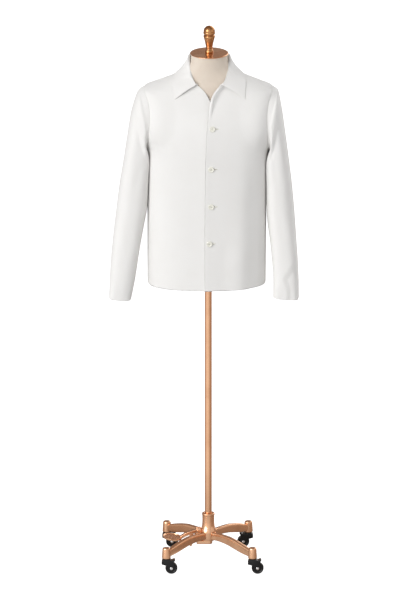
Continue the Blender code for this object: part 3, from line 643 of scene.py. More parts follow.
buttonHorn = mouldedMaterial("buttonHorn", {
    "Colour": (0.80, 0.79, 0.70), "Dust": (0.88, 0.87, 0.82), "Dust amount": 0.6, "Roughness": 0.22,
    "Grain scale": 300.0,
}, Coat_Weight=0.4, Coat_Roughness=0.12)
print("materials made")


# ---- the body's surface under the cloth, as level sections

torso = smoothTable(
    "z halfWidth front back squareness shift",
    (923, 183.5, 124, 113, 3.1, -5.0),
    (1000, 184, 124.5, 113, 3.1, -5.0),
    (1100, 184.5, 125, 114, 3.05, -4.5),
    (1200, 185, 126, 115, 3.0, -4.0),
    (1300, 186, 127, 117, 3.0, -2.5),
    (1370, 189, 127, 118, 3.0, -1.5),
    (1427, 197, 123, 118, 2.95, -0.5),
    (1463, 201, 117, 115.5, 2.85, 0.0),
    (1497, 203, 107, 109, 2.75, 0.5),
    (1523, 204, 94, 99, 2.75, 0.5),
    (1541, 203.8, 82, 89, 2.9, 0.5),
    (1550, 201.5, 75.5, 83.5, 2.95, 0.5),
    (1556, 196.5, 71.5, 80, 2.85, 0.5),
    (1562, 184, 68.3, 77, 2.65, 1.0),
    (1576, 151, 62, 71, 2.3, 2.5),
    (1588, 123.5, 58.5, 67.5, 2.1, 3.0),
    (1597, 104.5, 57, 65.5, 2.0, 3.0),
    (1606, 87.5, 55.5, 63.5, 2.0, 3.0),
    (1613, 74.5, 54, 62, 2.0, 3.0),
    (1620, 66, 53.5, 60.5, 2.0, 3.0),
)


def skinPoint(angle, z):
    # the angle runs from 0 at the centre front over 90 degrees at the wearer's left to 180 at the back
    angle, z = np.broadcast_arrays(np.asarray(angle, float), np.asarray(z, float))
    ring = torso(z)
    across, ahead = np.sin(angle), np.cos(angle)
    depth = np.where(ahead > 0, ring.front, ring.back)
    power = ring.squareness
    reach = (np.abs(across / ring.halfWidth) ** power + np.abs(ahead / depth) ** power) ** (-1 / power)
    return np.stack([ring.shift + reach * across, -reach * ahead, z], axis=-1)


def skinAt(angle, z, lift=0.0):
    point = skinPoint(angle, z)
    sideways = skinPoint(angle + 0.004, z) - skinPoint(angle - 0.004, z)
    upwards = skinPoint(angle, z + 0.8) - skinPoint(angle, z - 0.8)
    normal = unit(np.cross(sideways, upwards))
    return point + normal * np.asarray(lift, float)[..., None], normal


def bodySide(y, z):
    ring = torso(z)
    depth = np.where(y < 0, ring.front, ring.back)
    share = np.minimum(np.abs(y) / depth, 1.0)
    return ring.halfWidth * (1 - share**ring.squareness) ** (1 / ring.squareness)


def frontAngle(x, z):
    ring = torso(z)
    share = np.minimum(np.abs(x - ring.shift) / ring.halfWidth, 1.0)
    ahead = ring.front * (1 - share**ring.squareness) ** (1 / ring.squareness)
    return np.arctan2(x - ring.shift, ahead)


# ---- fronts and back

bodyCut = {
    "hemZ": 923.0, "armholeLowZ": 1350.0, "armholeHighZ": 1556.0, "armholeReach": math.radians(21.0),
    "neckCornerZ": 1577.0, "neckCornerAngle": 28.0, "shoulderNeckZ": 1613.0, "backNeckZ": 1614.0,
    "underReach": 20.0, "hemTurn": 34.0, "hemExtra": 1.2, "seamRadius": 150.0, "fadeReach": 75.0,
    "armholeRise": 17.0, "prowHeight": 8.6, "prowX": -8.0, "troughHeight": 13.0,
    "sideRows": 7, "armholeRows": 12, "shoulderRows": 6, "finerRows": 7, "frontColumns": 84,
    "backColumns": 64,
}
panelRows = bodyCut["sideRows"] + bodyCut["armholeRows"] + bodyCut["shoulderRows"]
frontRise = smoothTable("row z", (0, 923), (7, 1366), (13, 1468), (19, 1541), (22, 1553), (25, 1577))
backRise = smoothTable("row z", (0, 923), (7, 1350), (13, 1451), (19, 1557), (22, 1577), (25, 1614))
overEdge = smoothTable(
    "z x", (923, -12.0), (1180, -11.5), (1380, -8.5), (1458, -4.0), (1502, 1.5), (1531, 6.0), (1557, 19.0),
    (1577, 35.0)
)
underEdge = smoothTable("z x", (923, 20.0), (1450, 20.0), (1502, 16.0), (1531, 7.0), (1562, -14.0),
    (1577, -32.0))

# creases on the body: a path of x and height, how far out, how wide,
# then where they fade in and out, and the share of the ridge beside them
frontCreases = [
    ([(134, 1420), (144, 1300), (147, 1150), (144, 925)], -6.5, 58, 0.5, 0),
    ([(92, 1200), (98, 1080), (96, 925)], 2.4, 60, 0.6, 0),
    ([(50, 1150), (52, 1050), (50, 925)], -1.2, 44, 0.6, 0),
    ([(168, 1440), (172, 1390), (182, 1345)], -2.2, 26, 0.4, 0.3),
    ([(40, 985), (100, 1020), (160, 1085)], 1.0, 50),
    ([(-168, 1440), (-172, 1398), (-184, 1360)], -2.6, 24, 0.4, 0.2),
    ([(-186, 1398), (-160, 1392), (-128, 1378)], -1.3, 16, 0.15, 0.7),
    ([(-150, 1330), (-156, 1200), (-152, 930)], -1.4, 60, 0.4, 0),
    ([(-60, 1330), (-66, 1150), (-70, 925)], 0.9, 70, 0.4, 0),
]
backCreases = [
    ([(120, 1450), (132, 1330), (120, 1150), (112, 925)], -5.0, 58, 0.4, 0, 0.3),
    ([(-118, 1460), (-134, 1320), (-126, 1140), (-122, 925)], -5.6, 54, 0.4, 0, -0.3),
    ([(30, 1330), (22, 1180), (26, 925)], 3.0, 70, 0.5, 0),
    ([(-40, 1280), (-46, 1100), (-38, 925)], -2.6, 60, 0.5, 0),
    ([(170, 1450), (174, 1395), (184, 1350)], -2.4, 26, 0.4, 0.3),
    ([(-170, 1445), (-175, 1392), (-184, 1352)], -2.2, 28, 0.4, 0.3),
    ([(-70, 1585), (0, 1572), (70, 1586)], 0.9, 22),
]


def bodyFold(x, z, front):
    found = np.zeros(np.shape(x))
    for crease in frontCreases if front else backCreases:
        found = found + fold(x, z, *crease)
    # the same at the side seam for fronts and back, and nothing where the form carries the cloth
    side = np.abs(x - torso(z).shift) / torso(z).halfWidth
    return found * (1 - ease(0.93, 0.995, side)) * (1 - ease(1490, 1545, z))


def armhole(turn, front=True):
    middle = (bodyCut["armholeLowZ"] + bodyCut["armholeHighZ"]) / 2
    half = (bodyCut["armholeHighZ"] - bodyCut["armholeLowZ"]) / 2
    away = bodyCut["armholeReach"] * np.sin(turn)
    return np.where(front, np.pi / 2 - away, np.pi / 2 + away), middle + half * np.cos(turn)


def armholeRise(turn):
    # the cloth bridges the hollow between chest and arm, in front and behind
    return -np.sign(np.sin(turn)) * bodyCut["armholeRise"] * np.abs(np.sin(turn))


def fadedRise(turn, toSeam):
    return armholeRise(turn) * (1 - ease(0, bodyCut["fadeReach"], toSeam))


def neckline(degrees):
    share = (degrees - bodyCut["neckCornerAngle"]) / (90 - bodyCut["neckCornerAngle"])
    ahead = bodyCut["neckCornerZ"] + (bodyCut["shoulderNeckZ"] - bodyCut["neckCornerZ"]) * share
    shoulderZ = bodyCut["shoulderNeckZ"]
    behind = shoulderZ + (bodyCut["backNeckZ"] - shoulderZ) * (degrees - 90) / 90
    return np.where(degrees <= 90, ahead, behind)


def sideEdge(row, front):
    sideRows, armRows = bodyCut["sideRows"], bodyCut["armholeRows"]
    if row <= sideRows:
        return math.pi / 2, bodyCut["hemZ"] + (bodyCut["armholeLowZ"] - bodyCut["hemZ"]) * row / sideRows
    if row <= sideRows + armRows:
        angle, z = armhole(math.pi * (1 - (row - sideRows) / armRows), front)
        return float(angle), float(z)
    share = ((row - sideRows - armRows) / bodyCut["shoulderRows"]) ** 1.6
    return math.pi / 2, bodyCut["armholeHighZ"] + (bodyCut["shoulderNeckZ"] - bodyCut["armholeHighZ"]) * share


def edgeTurn(row):
    # where on the armhole a row ends: half a turn at the armpit and below, 0 at the shoulder and above
    return math.pi * (1 - min(max((row - bodyCut["sideRows"]) / bodyCut["armholeRows"], 0.0), 1.0))


def prow(x, z):
    # the two fronts lean on each other, so the middle stands a little proud
    beside = x - bodyCut["prowX"]
    reach = np.where(beside > 0, 46, 60)
    height = bodyCut["prowHeight"] * np.exp(-np.abs(np.sqrt(beside**2 + 36) - 6) / reach)
    return height * (1 - ease(1440, 1530, z))


def frontLift(x, z):
    # the covering front lies on the covered one near its edge, and comes down to the body beside it
    over = 1 - ease(bodyCut["underReach"], bodyCut["underReach"] + bodyCut["fadeReach"], x)
    return (cloth + seam + 0.25) * over * (1 - ease(1532, 1562, z))


def collarTrough(x, z):
    # the open top of the covering front turns out along its edge
    ends = ease(1474, 1540, z) * (1 - ease(1566, 1580, z))
    crest = overEdge(z).x + 6
    return ends * bodyCut["troughHeight"] * hump(x, crest,
        np.where(x < crest, 15, 9 + 15 * ease(1490, 1570, z)))


def seamGroove(distance, depth=0.25, reach=5.0):
    # cloth dips a little where two pieces are sewn together
    return -depth * (1 - ease(0, reach, distance))


def pucker(along, distance, height=0.18, reach=9.0):
    # small uneven ripples that a line of stitches draws into the cloth beside it
    ripple = np.sin(along * 0.62) * np.sin(along * 0.171 + 1.3) + 0.4 * np.sin(along * 0.93 + 0.6)
    return height * ripple * hump(distance, 3.5, reach)


def hemThickness(z):
    return cloth + bodyCut["hemExtra"] * (1 - ease(bodyCut["hemTurn"] - 1, bodyCut["hemTurn"] + 1,
        z - bodyCut["hemZ"]))


def panelRowsAt():
    finer = bodyCut["finerRows"]
    rows = np.arange(panelRows * finer + 1) / finer
    # closer rows at the hem
    return np.concatenate([[0.0, 0.02, 0.05, 0.09], rows[1:]])


def frontPanel(name, side):
    rows = panelRowsAt()
    columns = bodyCut["frontColumns"]
    share = np.linspace(0, 1, columns)
    share = np.concatenate([[0, 0.003, 0.008], share[1:]])
    u = 1 - (1 - share) ** 1.25
    outer = np.zeros((len(rows), len(u), 3))
    for k, row in enumerate(rows):
        startZ = float(frontRise(row).z)
        edgeX = float(overEdge(startZ).x if side > 0 else -underEdge(startZ).x)
        start = float(frontAngle(side * edgeX, startZ)) * side
        end, endZ = sideEdge(row, front=True)
        end -= seam / 2 / float(torso(endZ).halfWidth)
        angle, z = start + (end - start) * u, startZ + (endZ - startZ) * u
        x = skinPoint(angle, z)[..., 0]
        lift = frontLift(x, z) + collarTrough(x, z) if side > 0 else np.zeros(len(u))
        point, normal = skinAt(angle * side, z)
        toSeam = np.abs(end - angle) * bodyCut["seamRadius"]
        lift = lift + cloth + bodyFold(point[:, 0], z, True) * ease(0, 16, toSeam) + seamGroove(toSeam)
        lift = lift + prow(point[:, 0], z)
        lift = lift + pucker(z, toSeam) * (1 - ease(1480, 1520, z)) * ease(0, 3, toSeam)
        outer[k] = point + normal * lift[:, None]
        outer[k, :, 1] += fadedRise(edgeTurn(row), toSeam)
    thickness = hemThickness(outer[..., 2])
    return clothShell(name, outer, thickness, creamWool, outward=side, sewn=("end", "top"))


def backPanel(name):
    rows = panelRowsAt()
    columns = bodyCut["backColumns"]
    u = 1 - (1 - np.linspace(0, 1, columns)) ** 1.25
    outer = np.zeros((len(rows), 2 * len(u) - 1, 3))
    for k, row in enumerate(rows):
        startZ = float(backRise(row).z)
        end, endZ = sideEdge(row, front=False)
        end += seam / 2 / float(torso(endZ).halfWidth)
        angle, z = math.pi + (end - math.pi) * u, startZ + (endZ - startZ) * u
        toSeam = np.abs(angle - end) * bodyCut["seamRadius"]
        for side in (1, -1):
            point, normal = skinAt(angle * side, z)
            lift = cloth + bodyFold(point[:, 0], z, False) * ease(0, 16, toSeam) + seamGroove(toSeam)
            lift = lift + pucker(z + 40 * side, toSeam) * (1 - ease(1480, 1520, z)) * ease(0, 3, toSeam)
            found = point + normal * lift[:, None]
            found[:, 1] += fadedRise(-edgeTurn(row), toSeam)
            if side > 0:
                outer[k, len(u) - 1:] = found
            else:
                outer[k, :len(u)] = found[::-1]
    thickness = hemThickness(outer[..., 2])
    return clothShell(name, outer, thickness, creamWool, outward=-1, middle=len(u) - 1, sewn=("start", "end"))


# ---- collar

collarCut = {
    "foldRadius": 2.4, "leafLift": cloth + 0.6 + cloth / 2, "narrowerLeaf": 0.9, "columns": 181, "rows": 64,
}
collarHalf = (
    # seam angle, fold x, fold y, fold z, edge angle, edge z, bow
    (28, 42.6, -70, 1583.5, 55.2, 1537, 2.0),
    (36, 47, -63.5, 1590, 59.4, 1553, 1.5),
    (47, 53, -52.5, 1599, 64.0, 1566, 0.5),
    (60, 58.5, -36, 1614, 70.5, 1579, -1.5),
    (73, 62.5, -17, 1633, 79.0, 1590.5, -3.5),
    (90, 63.8, 4, 1648, 91.0, 1596.5, -4.0),
    (106, 61.5, 25, 1655, 106.0, 1595.5, -2.5),
    (127, 50.5, 46, 1656, 124.0, 1593, 0.0),
    (152, 28, 60, 1655, 150.0, 1594, 1.5),
    (180, 0, 65, 1654, 180.0, 1595, 2.0),
)


def wholeCollar():
    rows = [(k, *row) for k, row in enumerate(collarHalf)]
    last = len(collarHalf) - 1
    for k in range(last - 1, -1, -1):
        seamAngle, x, y, z, edgeAngle, edgeZ, bow = collarHalf[k]
        edgeAngle -= collarCut["narrowerLeaf"] * max(3 - k, 0)
        rows.append((2 * last - k, 360 - seamAngle, -x, y, z, 360 - edgeAngle, edgeZ, bow))
    return smoothTable("k seamAngle foldX foldY foldZ edgeAngle edgeZ bow", *rows), 2 * last


def splinePoint(points, t):
    spans = len(points) - 1
    k = min(int(t * spans), spans - 1)
    part = t * spans - k
    before, start = points[max(k - 1, 0)], points[k]
    end, after = points[k + 1], points[min(k + 2, spans)]
    low, high, leave, arrive = splineParts(part)
    return start * low + end * high + (end - before) / 2 * leave + (after - start) / 2 * arrive


def collarPanel(name):
    stations, last = wholeCollar()
    k = np.linspace(0, last, collarCut["columns"])
    row = stations(k)
    degrees = np.where(row.seamAngle <= 180, row.seamAngle, 360 - row.seamAngle)
    foot, upward = skinAt(np.radians(row.seamAngle), neckline(degrees), cloth / 2)
    crown = np.stack([row.foldX + torso(row.foldZ).shift, row.foldY, row.foldZ], axis=-1)
    edge, _ = skinAt(np.radians(row.edgeAngle), row.edgeZ, collarCut["leafLift"])
    ahead, behind = stations(np.minimum(k + 0.05, last)), stations(np.maximum(k - 0.05, 0))
    along = unit(np.stack([ahead.foldX - behind.foldX, ahead.foldY - behind.foldY, 0 * k], axis=-1))
    out = np.stack([along[:, 1], -along[:, 0], 0 * k], axis=-1)
    foot[:, 2] += cloth / 2 * upward[:, 2] + seam + 0.5 + 0.7 * (1 - ease(0.5, 2.0, np.minimum(k, last - k)))
    radius = collarCut["foldRadius"]
    rise = np.array((0, 0, radius))
    inside, outside = crown - out * radius - rise, crown + out * radius - rise
    bow = (out + np.array((0, 0, 0.6))) * row.bow[:, None]
    leaf = [outside + (edge - outside) * 0.35 + bow, outside + (edge - outside) * 0.7 + bow * 0.8]
    controls = [foot, (foot + crown) / 2 - out * 0.3, inside, crown, outside, *leaf, edge]

    def line(t):
        here = splinePoint(controls, t)
        if t < 0.55:
            return here
        angle = np.arctan2(here[:, 0] - torso(here[:, 2]).shift, -here[:, 1])
        base, normal = skinAt(angle, here[:, 2])
        above = np.sum((here - base) * normal, axis=-1)
        return here + normal * np.maximum(cloth * 1.5 + seam + 0.3 - above, 0)[:, None]

    shares = np.linspace(0, 1, collarCut["rows"]) ** 0.96
    middle = np.stack([line(t) for t in shares])
    normals = gridNormals(middle)
    outer = middle + normals * cloth / 2
    return clothShell(name, outer, cloth, creamWool, outward=1, middle=collarCut["columns"] // 2)


# ---- sleeves: row, nearest point to the body, farthest point, middle depth, half depth, squareness

sleeveSections = {
    1: smoothTable(
        "row innerX innerZ outerX outerZ midY halfDepth squareness",
        (1, 192.0, 1353, 212.5, 1549, 0, 75.5, 2.05),
        (2, 192.5, 1351, 220.5, 1539, -2, 77, 2.4),
        (3, 188, 1348, 227.5, 1507, -4, 77, 2.75),
        (4, 184, 1343, 235, 1463, -6, 76, 2.75),
        (5, 180, 1336, 241.5, 1414, -8, 75, 2.75),
        (6, 177, 1327, 247, 1374, -10, 74, 2.75),
        (7, 175, 1316, 252, 1334, -11, 73, 2.75),
        (8, 175, 1296, 256.5, 1300, -12, 72, 2.7),
        (9, 178, 1240, 263.5, 1240, -14, 70, 2.6),
        (10, 179.5, 1180, 269, 1180, -17, 67, 2.5),
        (11, 185, 1120, 273.5, 1120, -21, 64, 2.6),
        (12, 193.5, 1061, 277.5, 1061, -27, 60.5, 2.8),
        (13, 199.5, 1000, 281.5, 1000, -33, 56, 3.1),
        (14, 204, 940, 284.5, 938, -40, 51, 3.6),
        (15, 203.8, 885, 285, 877, -47, 44, 4.8),
    ),
    -1: smoothTable(
        "row innerX innerZ outerX outerZ midY halfDepth squareness",
        (1, 192.5, 1353, 211.5, 1549, 0, 75.5, 2.05),
        (2, 193, 1351, 221.5, 1538, -2, 77, 2.4),
        (3, 186, 1348, 232.5, 1510, -4, 77, 2.75),
        (4, 182, 1343, 243.5, 1470, -6, 76, 2.75),
        (5, 179, 1336, 250.5, 1427, -8, 75, 2.75),
        (6, 177, 1327, 256.5, 1386, -10, 74, 2.75),
        (7, 177, 1316, 262.5, 1346, -11, 73, 2.75),
        (8, 179, 1296, 269, 1304, -12, 72, 2.7),
        (9, 183.5, 1240, 279.5, 1240, -14, 70, 2.6),
        (10, 188, 1180, 287, 1180, -17, 67, 2.5),
        (11, 199.5, 1120, 294, 1120, -21, 64, 2.6),
        (12, 210.5, 1061, 300.5, 1061, -27, 60.5, 2.8),
        (13, 220, 1000, 306, 1000, -33, 56, 3.1),
        (14, 229, 940, 309.5, 940, -40, 51, 3.6),
        (15, 241.5, 876, 312, 881, -47, 44, 4.8),
    ),
}
sleeveCut = {"around": 168, "rowsPerSection": 13, "bodyClearance": 1.3, "cuffTurn": 28.0, "sections": 15, "cuffExtra": 1.0}
# creases on the sleeves: place round the sleeve in degrees from the outside over the front, and height,
# then as on the body
sleeveCreases = {
    1: [
        ([(130, 1395), (100, 1330), (92, 1250)], -1.6, 24),
        ([(60, 1500), (66, 1400), (58, 1290)], 1.2, 34),
        ([(105, 1200), (88, 1120), (96, 1050)], -1.2, 30),
        ([(-60, 1320), (-110, 1230), (-100, 1120)], -4.0, 30),
        ([(-150, 1200), (-90, 1165), (-40, 1180)], -3.2, 20),
        ([(-100, 1060), (-70, 980), (-80, 890)], 3.0, 30, 0.2, 0),
    ],
    -1: [
        ([(140, 1400), (112, 1375), (84, 1382)], -1.8, 17),
        ([(128, 1350), (98, 1300), (94, 1220)], -1.3, 26),
        ([(58, 1500), (64, 1400), (58, 1290)], 1.2, 34),
        ([(-60, 1330), (-108, 1240), (-98, 1130)], -3.8, 30),
        ([(-145, 1190), (-95, 1150), (-40, 1172)], -3.4, 20),
        ([(-96, 1050), (-74, 980), (-82, 890)], 2.8, 30, 0.2, 0),
    ],
}


def sleeveFold(side, row, turn, z):
    # turn is 0 outside, a quarter turn at the front and half a turn next to the body
    degrees = np.degrees(turn)
    found = np.zeros(np.shape(turn))
    for crease in sleeveCreases[side]:
        found = found + fold(degrees, z, *crease)
    if side > 0:
        # the bend of the forearm: the outer half falls back behind a ridge that ends in a point at the front
        gap, share, beside = nearPath(degrees, z, [(18, 1030), (72, 984), (101, 951), (86, 915), (88, 860)])
        signed = gap * beside
        drop = ease(-8, 20, -signed) * (1 - ease(34, 95, -signed)) * ease(0.02, 0.3, share)
        return found - 4.0 * drop + 1.0 * hump(gap, 0, 26) * ease(0.1, 0.4, share)
    ridge = 2.2 * hump(degrees, 96, 46) - 3.4 * hump(degrees, 136, 54)
    return found + ridge * ease(12.0, 13.6, row)


def armholePoint(side, turn, lift):
    turn = np.asarray(turn, float)
    front = turn <= np.pi
    angle, z = armhole(np.where(front, turn, 2 * np.pi - turn), front)
    return skinAt(angle * side, z, lift)[0]


def normalAt(side, turn):
    return unit(armholePoint(side, turn, np.full(len(turn), 1.0)) - armholePoint(side, turn,
        np.zeros(len(turn))))


def sleeveOuter(side, row, turn):
    row, turn = np.broadcast_arrays(np.asarray(row, float), np.asarray(turn, float))
    section = sleeveSections[side](row)
    zero = np.zeros(np.shape(row))
    near = np.stack([section.innerX, zero, section.innerZ], axis=-1)
    far = np.stack([section.outerX, zero, section.outerZ], axis=-1)
    length = np.linalg.norm(far - near, axis=-1)
    power = section.squareness
    along, ahead = length / 2 * np.cos(turn), section.halfDepth * np.sin(turn)
    spread = (np.abs(np.cos(turn)) ** power + np.abs(np.sin(turn)) ** power) ** (-1 / power)
    signedTurn = np.where(turn < np.pi, turn, turn - 2 * np.pi)
    middleZ = (section.innerZ + section.outerZ) / 2 + along / length * (section.outerZ - section.innerZ)
    spread = spread + sleeveFold(side, row, signedTurn, middleZ) / np.hypot(along, ahead)
    point = (near + far) / 2 + unit(far - near) * (along * spread)[..., None]
    point[..., 1] = section.midY - ahead * spread
    point[..., 0] -= 9.0 * (1 - ease(1, 4, row)) * np.sin(turn) ** 4
    need = cloth + sleeveCut["bodyClearance"] + 1.6 * cloth * ease(1352, 1375, point[..., 2])
    reach = bodySide(point[..., 1], point[..., 2]) + side * torso(point[..., 2]).shift + need
    point[..., 0] = softMax(point[..., 0], reach) * side
    return point


def sleevePiece(name, side):
    around, finer = sleeveCut["around"], sleeveCut["rowsPerSection"]
    turn = 2 * np.pi * np.arange(around) / around
    centre = np.array((side * 195, 0, (bodyCut["armholeLowZ"] + bodyCut["armholeHighZ"]) / 2))
    lifted = np.full(around, cloth)
    here, under = armholePoint(side, turn, lifted), armholePoint(side, turn, np.zeros(around))
    along = armholePoint(side, turn + 0.02, lifted) - armholePoint(side, turn - 0.02, lifted)
    away = unit(np.cross(along, here - under))
    away *= np.where(np.sum(away * (centre - here), axis=-1) < 0, -1, 1)[:, None]
    first = here + away * 0.03 + normalAt(side, turn) * seamGroove(0.0)
    first[:, 1] += armholeRise(turn)
    last = sleeveCut["sections"]
    rows = np.linspace(1, last, (last - 1) * finer + 1)
    rest = np.stack([sleeveOuter(side, row, turn) for row in rows])
    away = np.linalg.norm(rest - first, axis=-1)
    rest[..., 1] += fadedRise(turn, away)
    # the cloth leaves the armhole seam, rises into the sleeve head and settles into the first section
    lead = [first + (rest[0] - first) * t for t in (0.06, 0.14, 0.24, 0.36, 0.5, 0.64, 0.78, 0.9)]
    outer = np.concatenate([first[None], np.stack(lead), rest])
    toSeam = runLengths(outer, 0)
    girth = turn * 70
    swell = 0.3 * hump(toSeam, 9, 14) * np.maximum(np.cos(turn), 0)
    swell = swell + 0.22 * hump(toSeam, 7, 8) * (np.sin(girth * 0.33) + 0.6 * np.sin(girth * 0.21 + 1))
    normals = gridNormals(outer, closed=True)
    middle = outer.mean(axis=1, keepdims=True)
    flip = 1 if np.mean(np.sum(normals * (outer - middle), axis=-1)) > 0 else -1
    outer = outer + normals * flip * swell[..., None]
    runFromCuff = toSeam[-1:] - toSeam
    turned = sleeveCut["cuffTurn"]
    thickness = cloth + sleeveCut["cuffExtra"] * (1 - ease(turned - 1, turned + 1, runFromCuff))
    return clothShell(name, outer, thickness, creamWool, outward=flip, closed=True, sewn=("bottom",))


jacket = {
    "front_left": frontPanel("blazerFrontLeft", 1),
    "front_right": frontPanel("blazerFrontRight", -1),
    "back": backPanel("blazerBack"),
    "collar": collarPanel("blazerCollar"),
    "sleeve_left": sleevePiece("blazerSleeveLeft", 1),
    "sleeve_right": sleevePiece("blazerSleeveRight", -1),
}
# how each piece was cut flat: width and length in metres, and what carries it
cuts = {
    "front_left": (0.33, 0.68, ["form"]),
    "front_right": (0.36, 0.68, ["form"]),
    "back": (0.62, 0.71, ["form"]),
    "collar": (0.50, 0.115, ["blazerBack", "blazerFrontLeft", "blazerFrontRight"]),
    "sleeve_left": (0.40, 0.66, ["blazerFrontLeft", "blazerBack"]),
    "sleeve_right": (0.40, 0.66, ["blazerFrontRight", "blazerBack"]),
}
for node, piece in jacket.items():
    dress(piece, "dressed_form", node)
    print("cloth:", piece.name, len(piece.data.polygons), "faces,", round(flatArea(piece), 4), "m2")


# ---- buttons and buttonholes

buttonCut = {
    "diameter": 18.5, "thickness": 3.0, "holeRadius": 1.0, "holeSpacing": 1.75, "segments": 64,
    "holeLength": 21.0, "holeStart": -3.0, "stitchRadius": 0.28,
}
buttonSpots = {1: (13.0, 1453), 2: (9.0, 1325), 3: (9.0, 1202), 4: (3.5, 1080)}


def clothAt(x, z):
    # a point on the covering front's right side
    angle = frontAngle(x, z)
    lift = frontLift(x, z) + collarTrough(x, z) + cloth + bodyFold(x, z, True) + prow(x, z)
    return skinAt(angle, z, lift)


def buttonAt(number):
    x, z = buttonSpots[number]
    point, normal = clothAt(np.array(x), np.array(z))
    point = point + normal * seam
    matrix = Vector(normal).to_track_quat("Z", "Y").to_matrix()
    return point, np.array(matrix)


def placed(points, origin, turn):
    return origin + np.asarray(points, float) @ turn.T


def buttonPiece(number):
    origin, turn = buttonAt(number)
    radius, thick = buttonCut["diameter"] / 2, buttonCut["thickness"]
    profile = rounded([
        (0.02, 0.0), (radius - 1.4, 0.0, 1.0), (radius, 1.0, 0.7), (radius, thick - 0.9, 0.7),
        (radius - 1.2, thick, 0.7), (radius - 2.6, thick - 0.15, 0.7), (radius - 3.6, thick - 1.0, 0.9),
        (0.02, thick - 1.05),
    ], steps=5)
    piece = ringSolid(f"button{number}", turnedRings(profile, buttonCut["segments"]), buttonHorn)
    cutters = []
    for k in range(4):
        a = math.radians(45 + 90 * k)
        spot = (buttonCut["holeSpacing"] * math.cos(a), buttonCut["holeSpacing"] * math.sin(a))
        cutters.append(ringSolid("drill", turnedRings([(buttonCut["holeRadius"], z) for z in (-1, 4)], 20,
            spot), buttonHorn))
    cutFrom(piece, cutters)
    return placePiece(piece, origin, turn)


def placePiece(piece, origin, turn):
    # moves a mesh that was made about the pole's axis to a point on the cloth
    matrix = Matrix(turn.tolist()).to_4x4()
    home = Matrix.Translation(Vector((poleFromOrigin, 0, 0)) / 1000)
    there = Matrix.Translation(Vector(origin + np.array((poleFromOrigin, 0, 0))) / 1000)
    piece.data.transform(there @ matrix @ home.inverted())
    return piece


def buttonThread(number):
    # thread through the four holes, crossed once
    origin, turn = buttonAt(number)
    s, top = buttonCut["holeSpacing"] * 0.707, buttonCut["thickness"] - 1.05
    lines = []
    for (ax, ay), (bx, by) in (((-s, -s), (s, s)), ((-s, s), (s, -s))):
        for shift in (-0.28, 0.0, 0.28):
            px, py = -shift * 0.7 * np.sign(by - ay), shift * 0.7
            lines.append([
                (ax + px, ay + py, 0.2), (ax + px, ay + py, top - 0.1),
                (ax * 0.75 + px, ay * 0.75 + py, top + 0.28),
                (px, py, top + 0.42 + 0.12 * (ax * ay > 0)), (bx * 0.75 + px, by * 0.75 + py, top + 0.28),
                (bx + px, by + py, top - 0.1), (bx + px, by + py, 0.2),
            ])
    lines = [placed(line, origin, turn) for line in lines]
    return tubesMesh(f"buttonThread{number}", lines, 0.2, creamThread, around=6)


def buttonhole(number):
    # a row of upright stitches round a slit, alike at both ends
    x, z = buttonSpots[number]
    start, length = x + buttonCut["holeStart"], buttonCut["holeLength"]
    lines = []
    count = 38

    def onCloth(px, pz, up):
        point, normal = clothAt(np.array(px), np.array(pz))
        return point + normal * up

    for k in range(count):
        along = start + length * (k + 0.5) / count
        for way in (1, -1):
            lean = 0.12 * math.sin(k * 2.3 + way)
            lines.append([
                onCloth(along + lean, z + way * 0.15, -0.1), onCloth(along, z + way * 0.3, 0.28),
                onCloth(along, z + way * 0.95, 0.34), onCloth(along - lean, z + way * 1.6, 0.24),
                onCloth(along - lean, z + way * 1.75, -0.15),
            ])
    for end, way in ((start, -1), (start + length, 1)):
        for k in range(7):
            a = math.pi * (k + 0.5) / 7 - math.pi / 2
            dx, dz = way * math.cos(a), math.sin(a)
            lines.append([
                onCloth(end + 0.15 * dx, z + 0.15 * dz, -0.1), onCloth(end + 0.8 * dx, z + 0.8 * dz, 0.34),
                onCloth(end + 1.7 * dx, z + 1.7 * dz, -0.15),
            ])
    return tubesMesh(f"buttonhole{number}", lines, buttonCut["stitchRadius"], creamThread, around=6)


for number in buttonSpots:
    piece = buttonPiece(number)
    dress(piece, "dressed_form", f"button_{number}")
    for extra in (buttonThread(number), buttonhole(number)):
        dress(extra, "dressed_form")
print("buttons made")

for node, (width, length, carriers) in cuts.items():
    piece = jacket[node]


# ---- the dress form, its cap and finial

formCut = {"around": 144, "bottomZ": 957.0, "topZ": 1664.0, "boreTopZ": 1500.0, "poleDiameter": 22.0,
    "boreClearance": 0.35,
    "neckPasses": 30}
formInset = smoothTable(
    "z inset", (957, 22), (1040, 20), (1120, 26), (1190, 30), (1280, 24), (1370, 16), (1430, 13), (1480, 9),
    (1520, 5), (1547, 3.6), (1560, 1.2), (1578, 1.3), (1590, 3.4), (1606, 4.4),
)
formNeck = smoothTable(
    "z halfWidth front back", (1613, 68, 48.5, 56), (1624, 61.5, 51, 55.5), (1640, 58.5, 54, 55),
    (1664, 57.5, 55.5, 55.5)
)


def formRing(z, around):
    angle = 2 * np.pi * (np.arange(around) + 0.5) / around - np.pi
    if z <= 1606:
        return skinAt(angle, np.full(around, z), -np.full(around, float(formInset(z).inset)))[0]
    row, level = formNeck(z), torso(z)
    depth = np.where(np.cos(angle) > 0, row.front, row.back)
    neck = np.stack([level.shift + row.halfWidth * np.sin(angle), -depth * np.cos(angle),
        np.full(around, z)], axis=-1)
    return neck


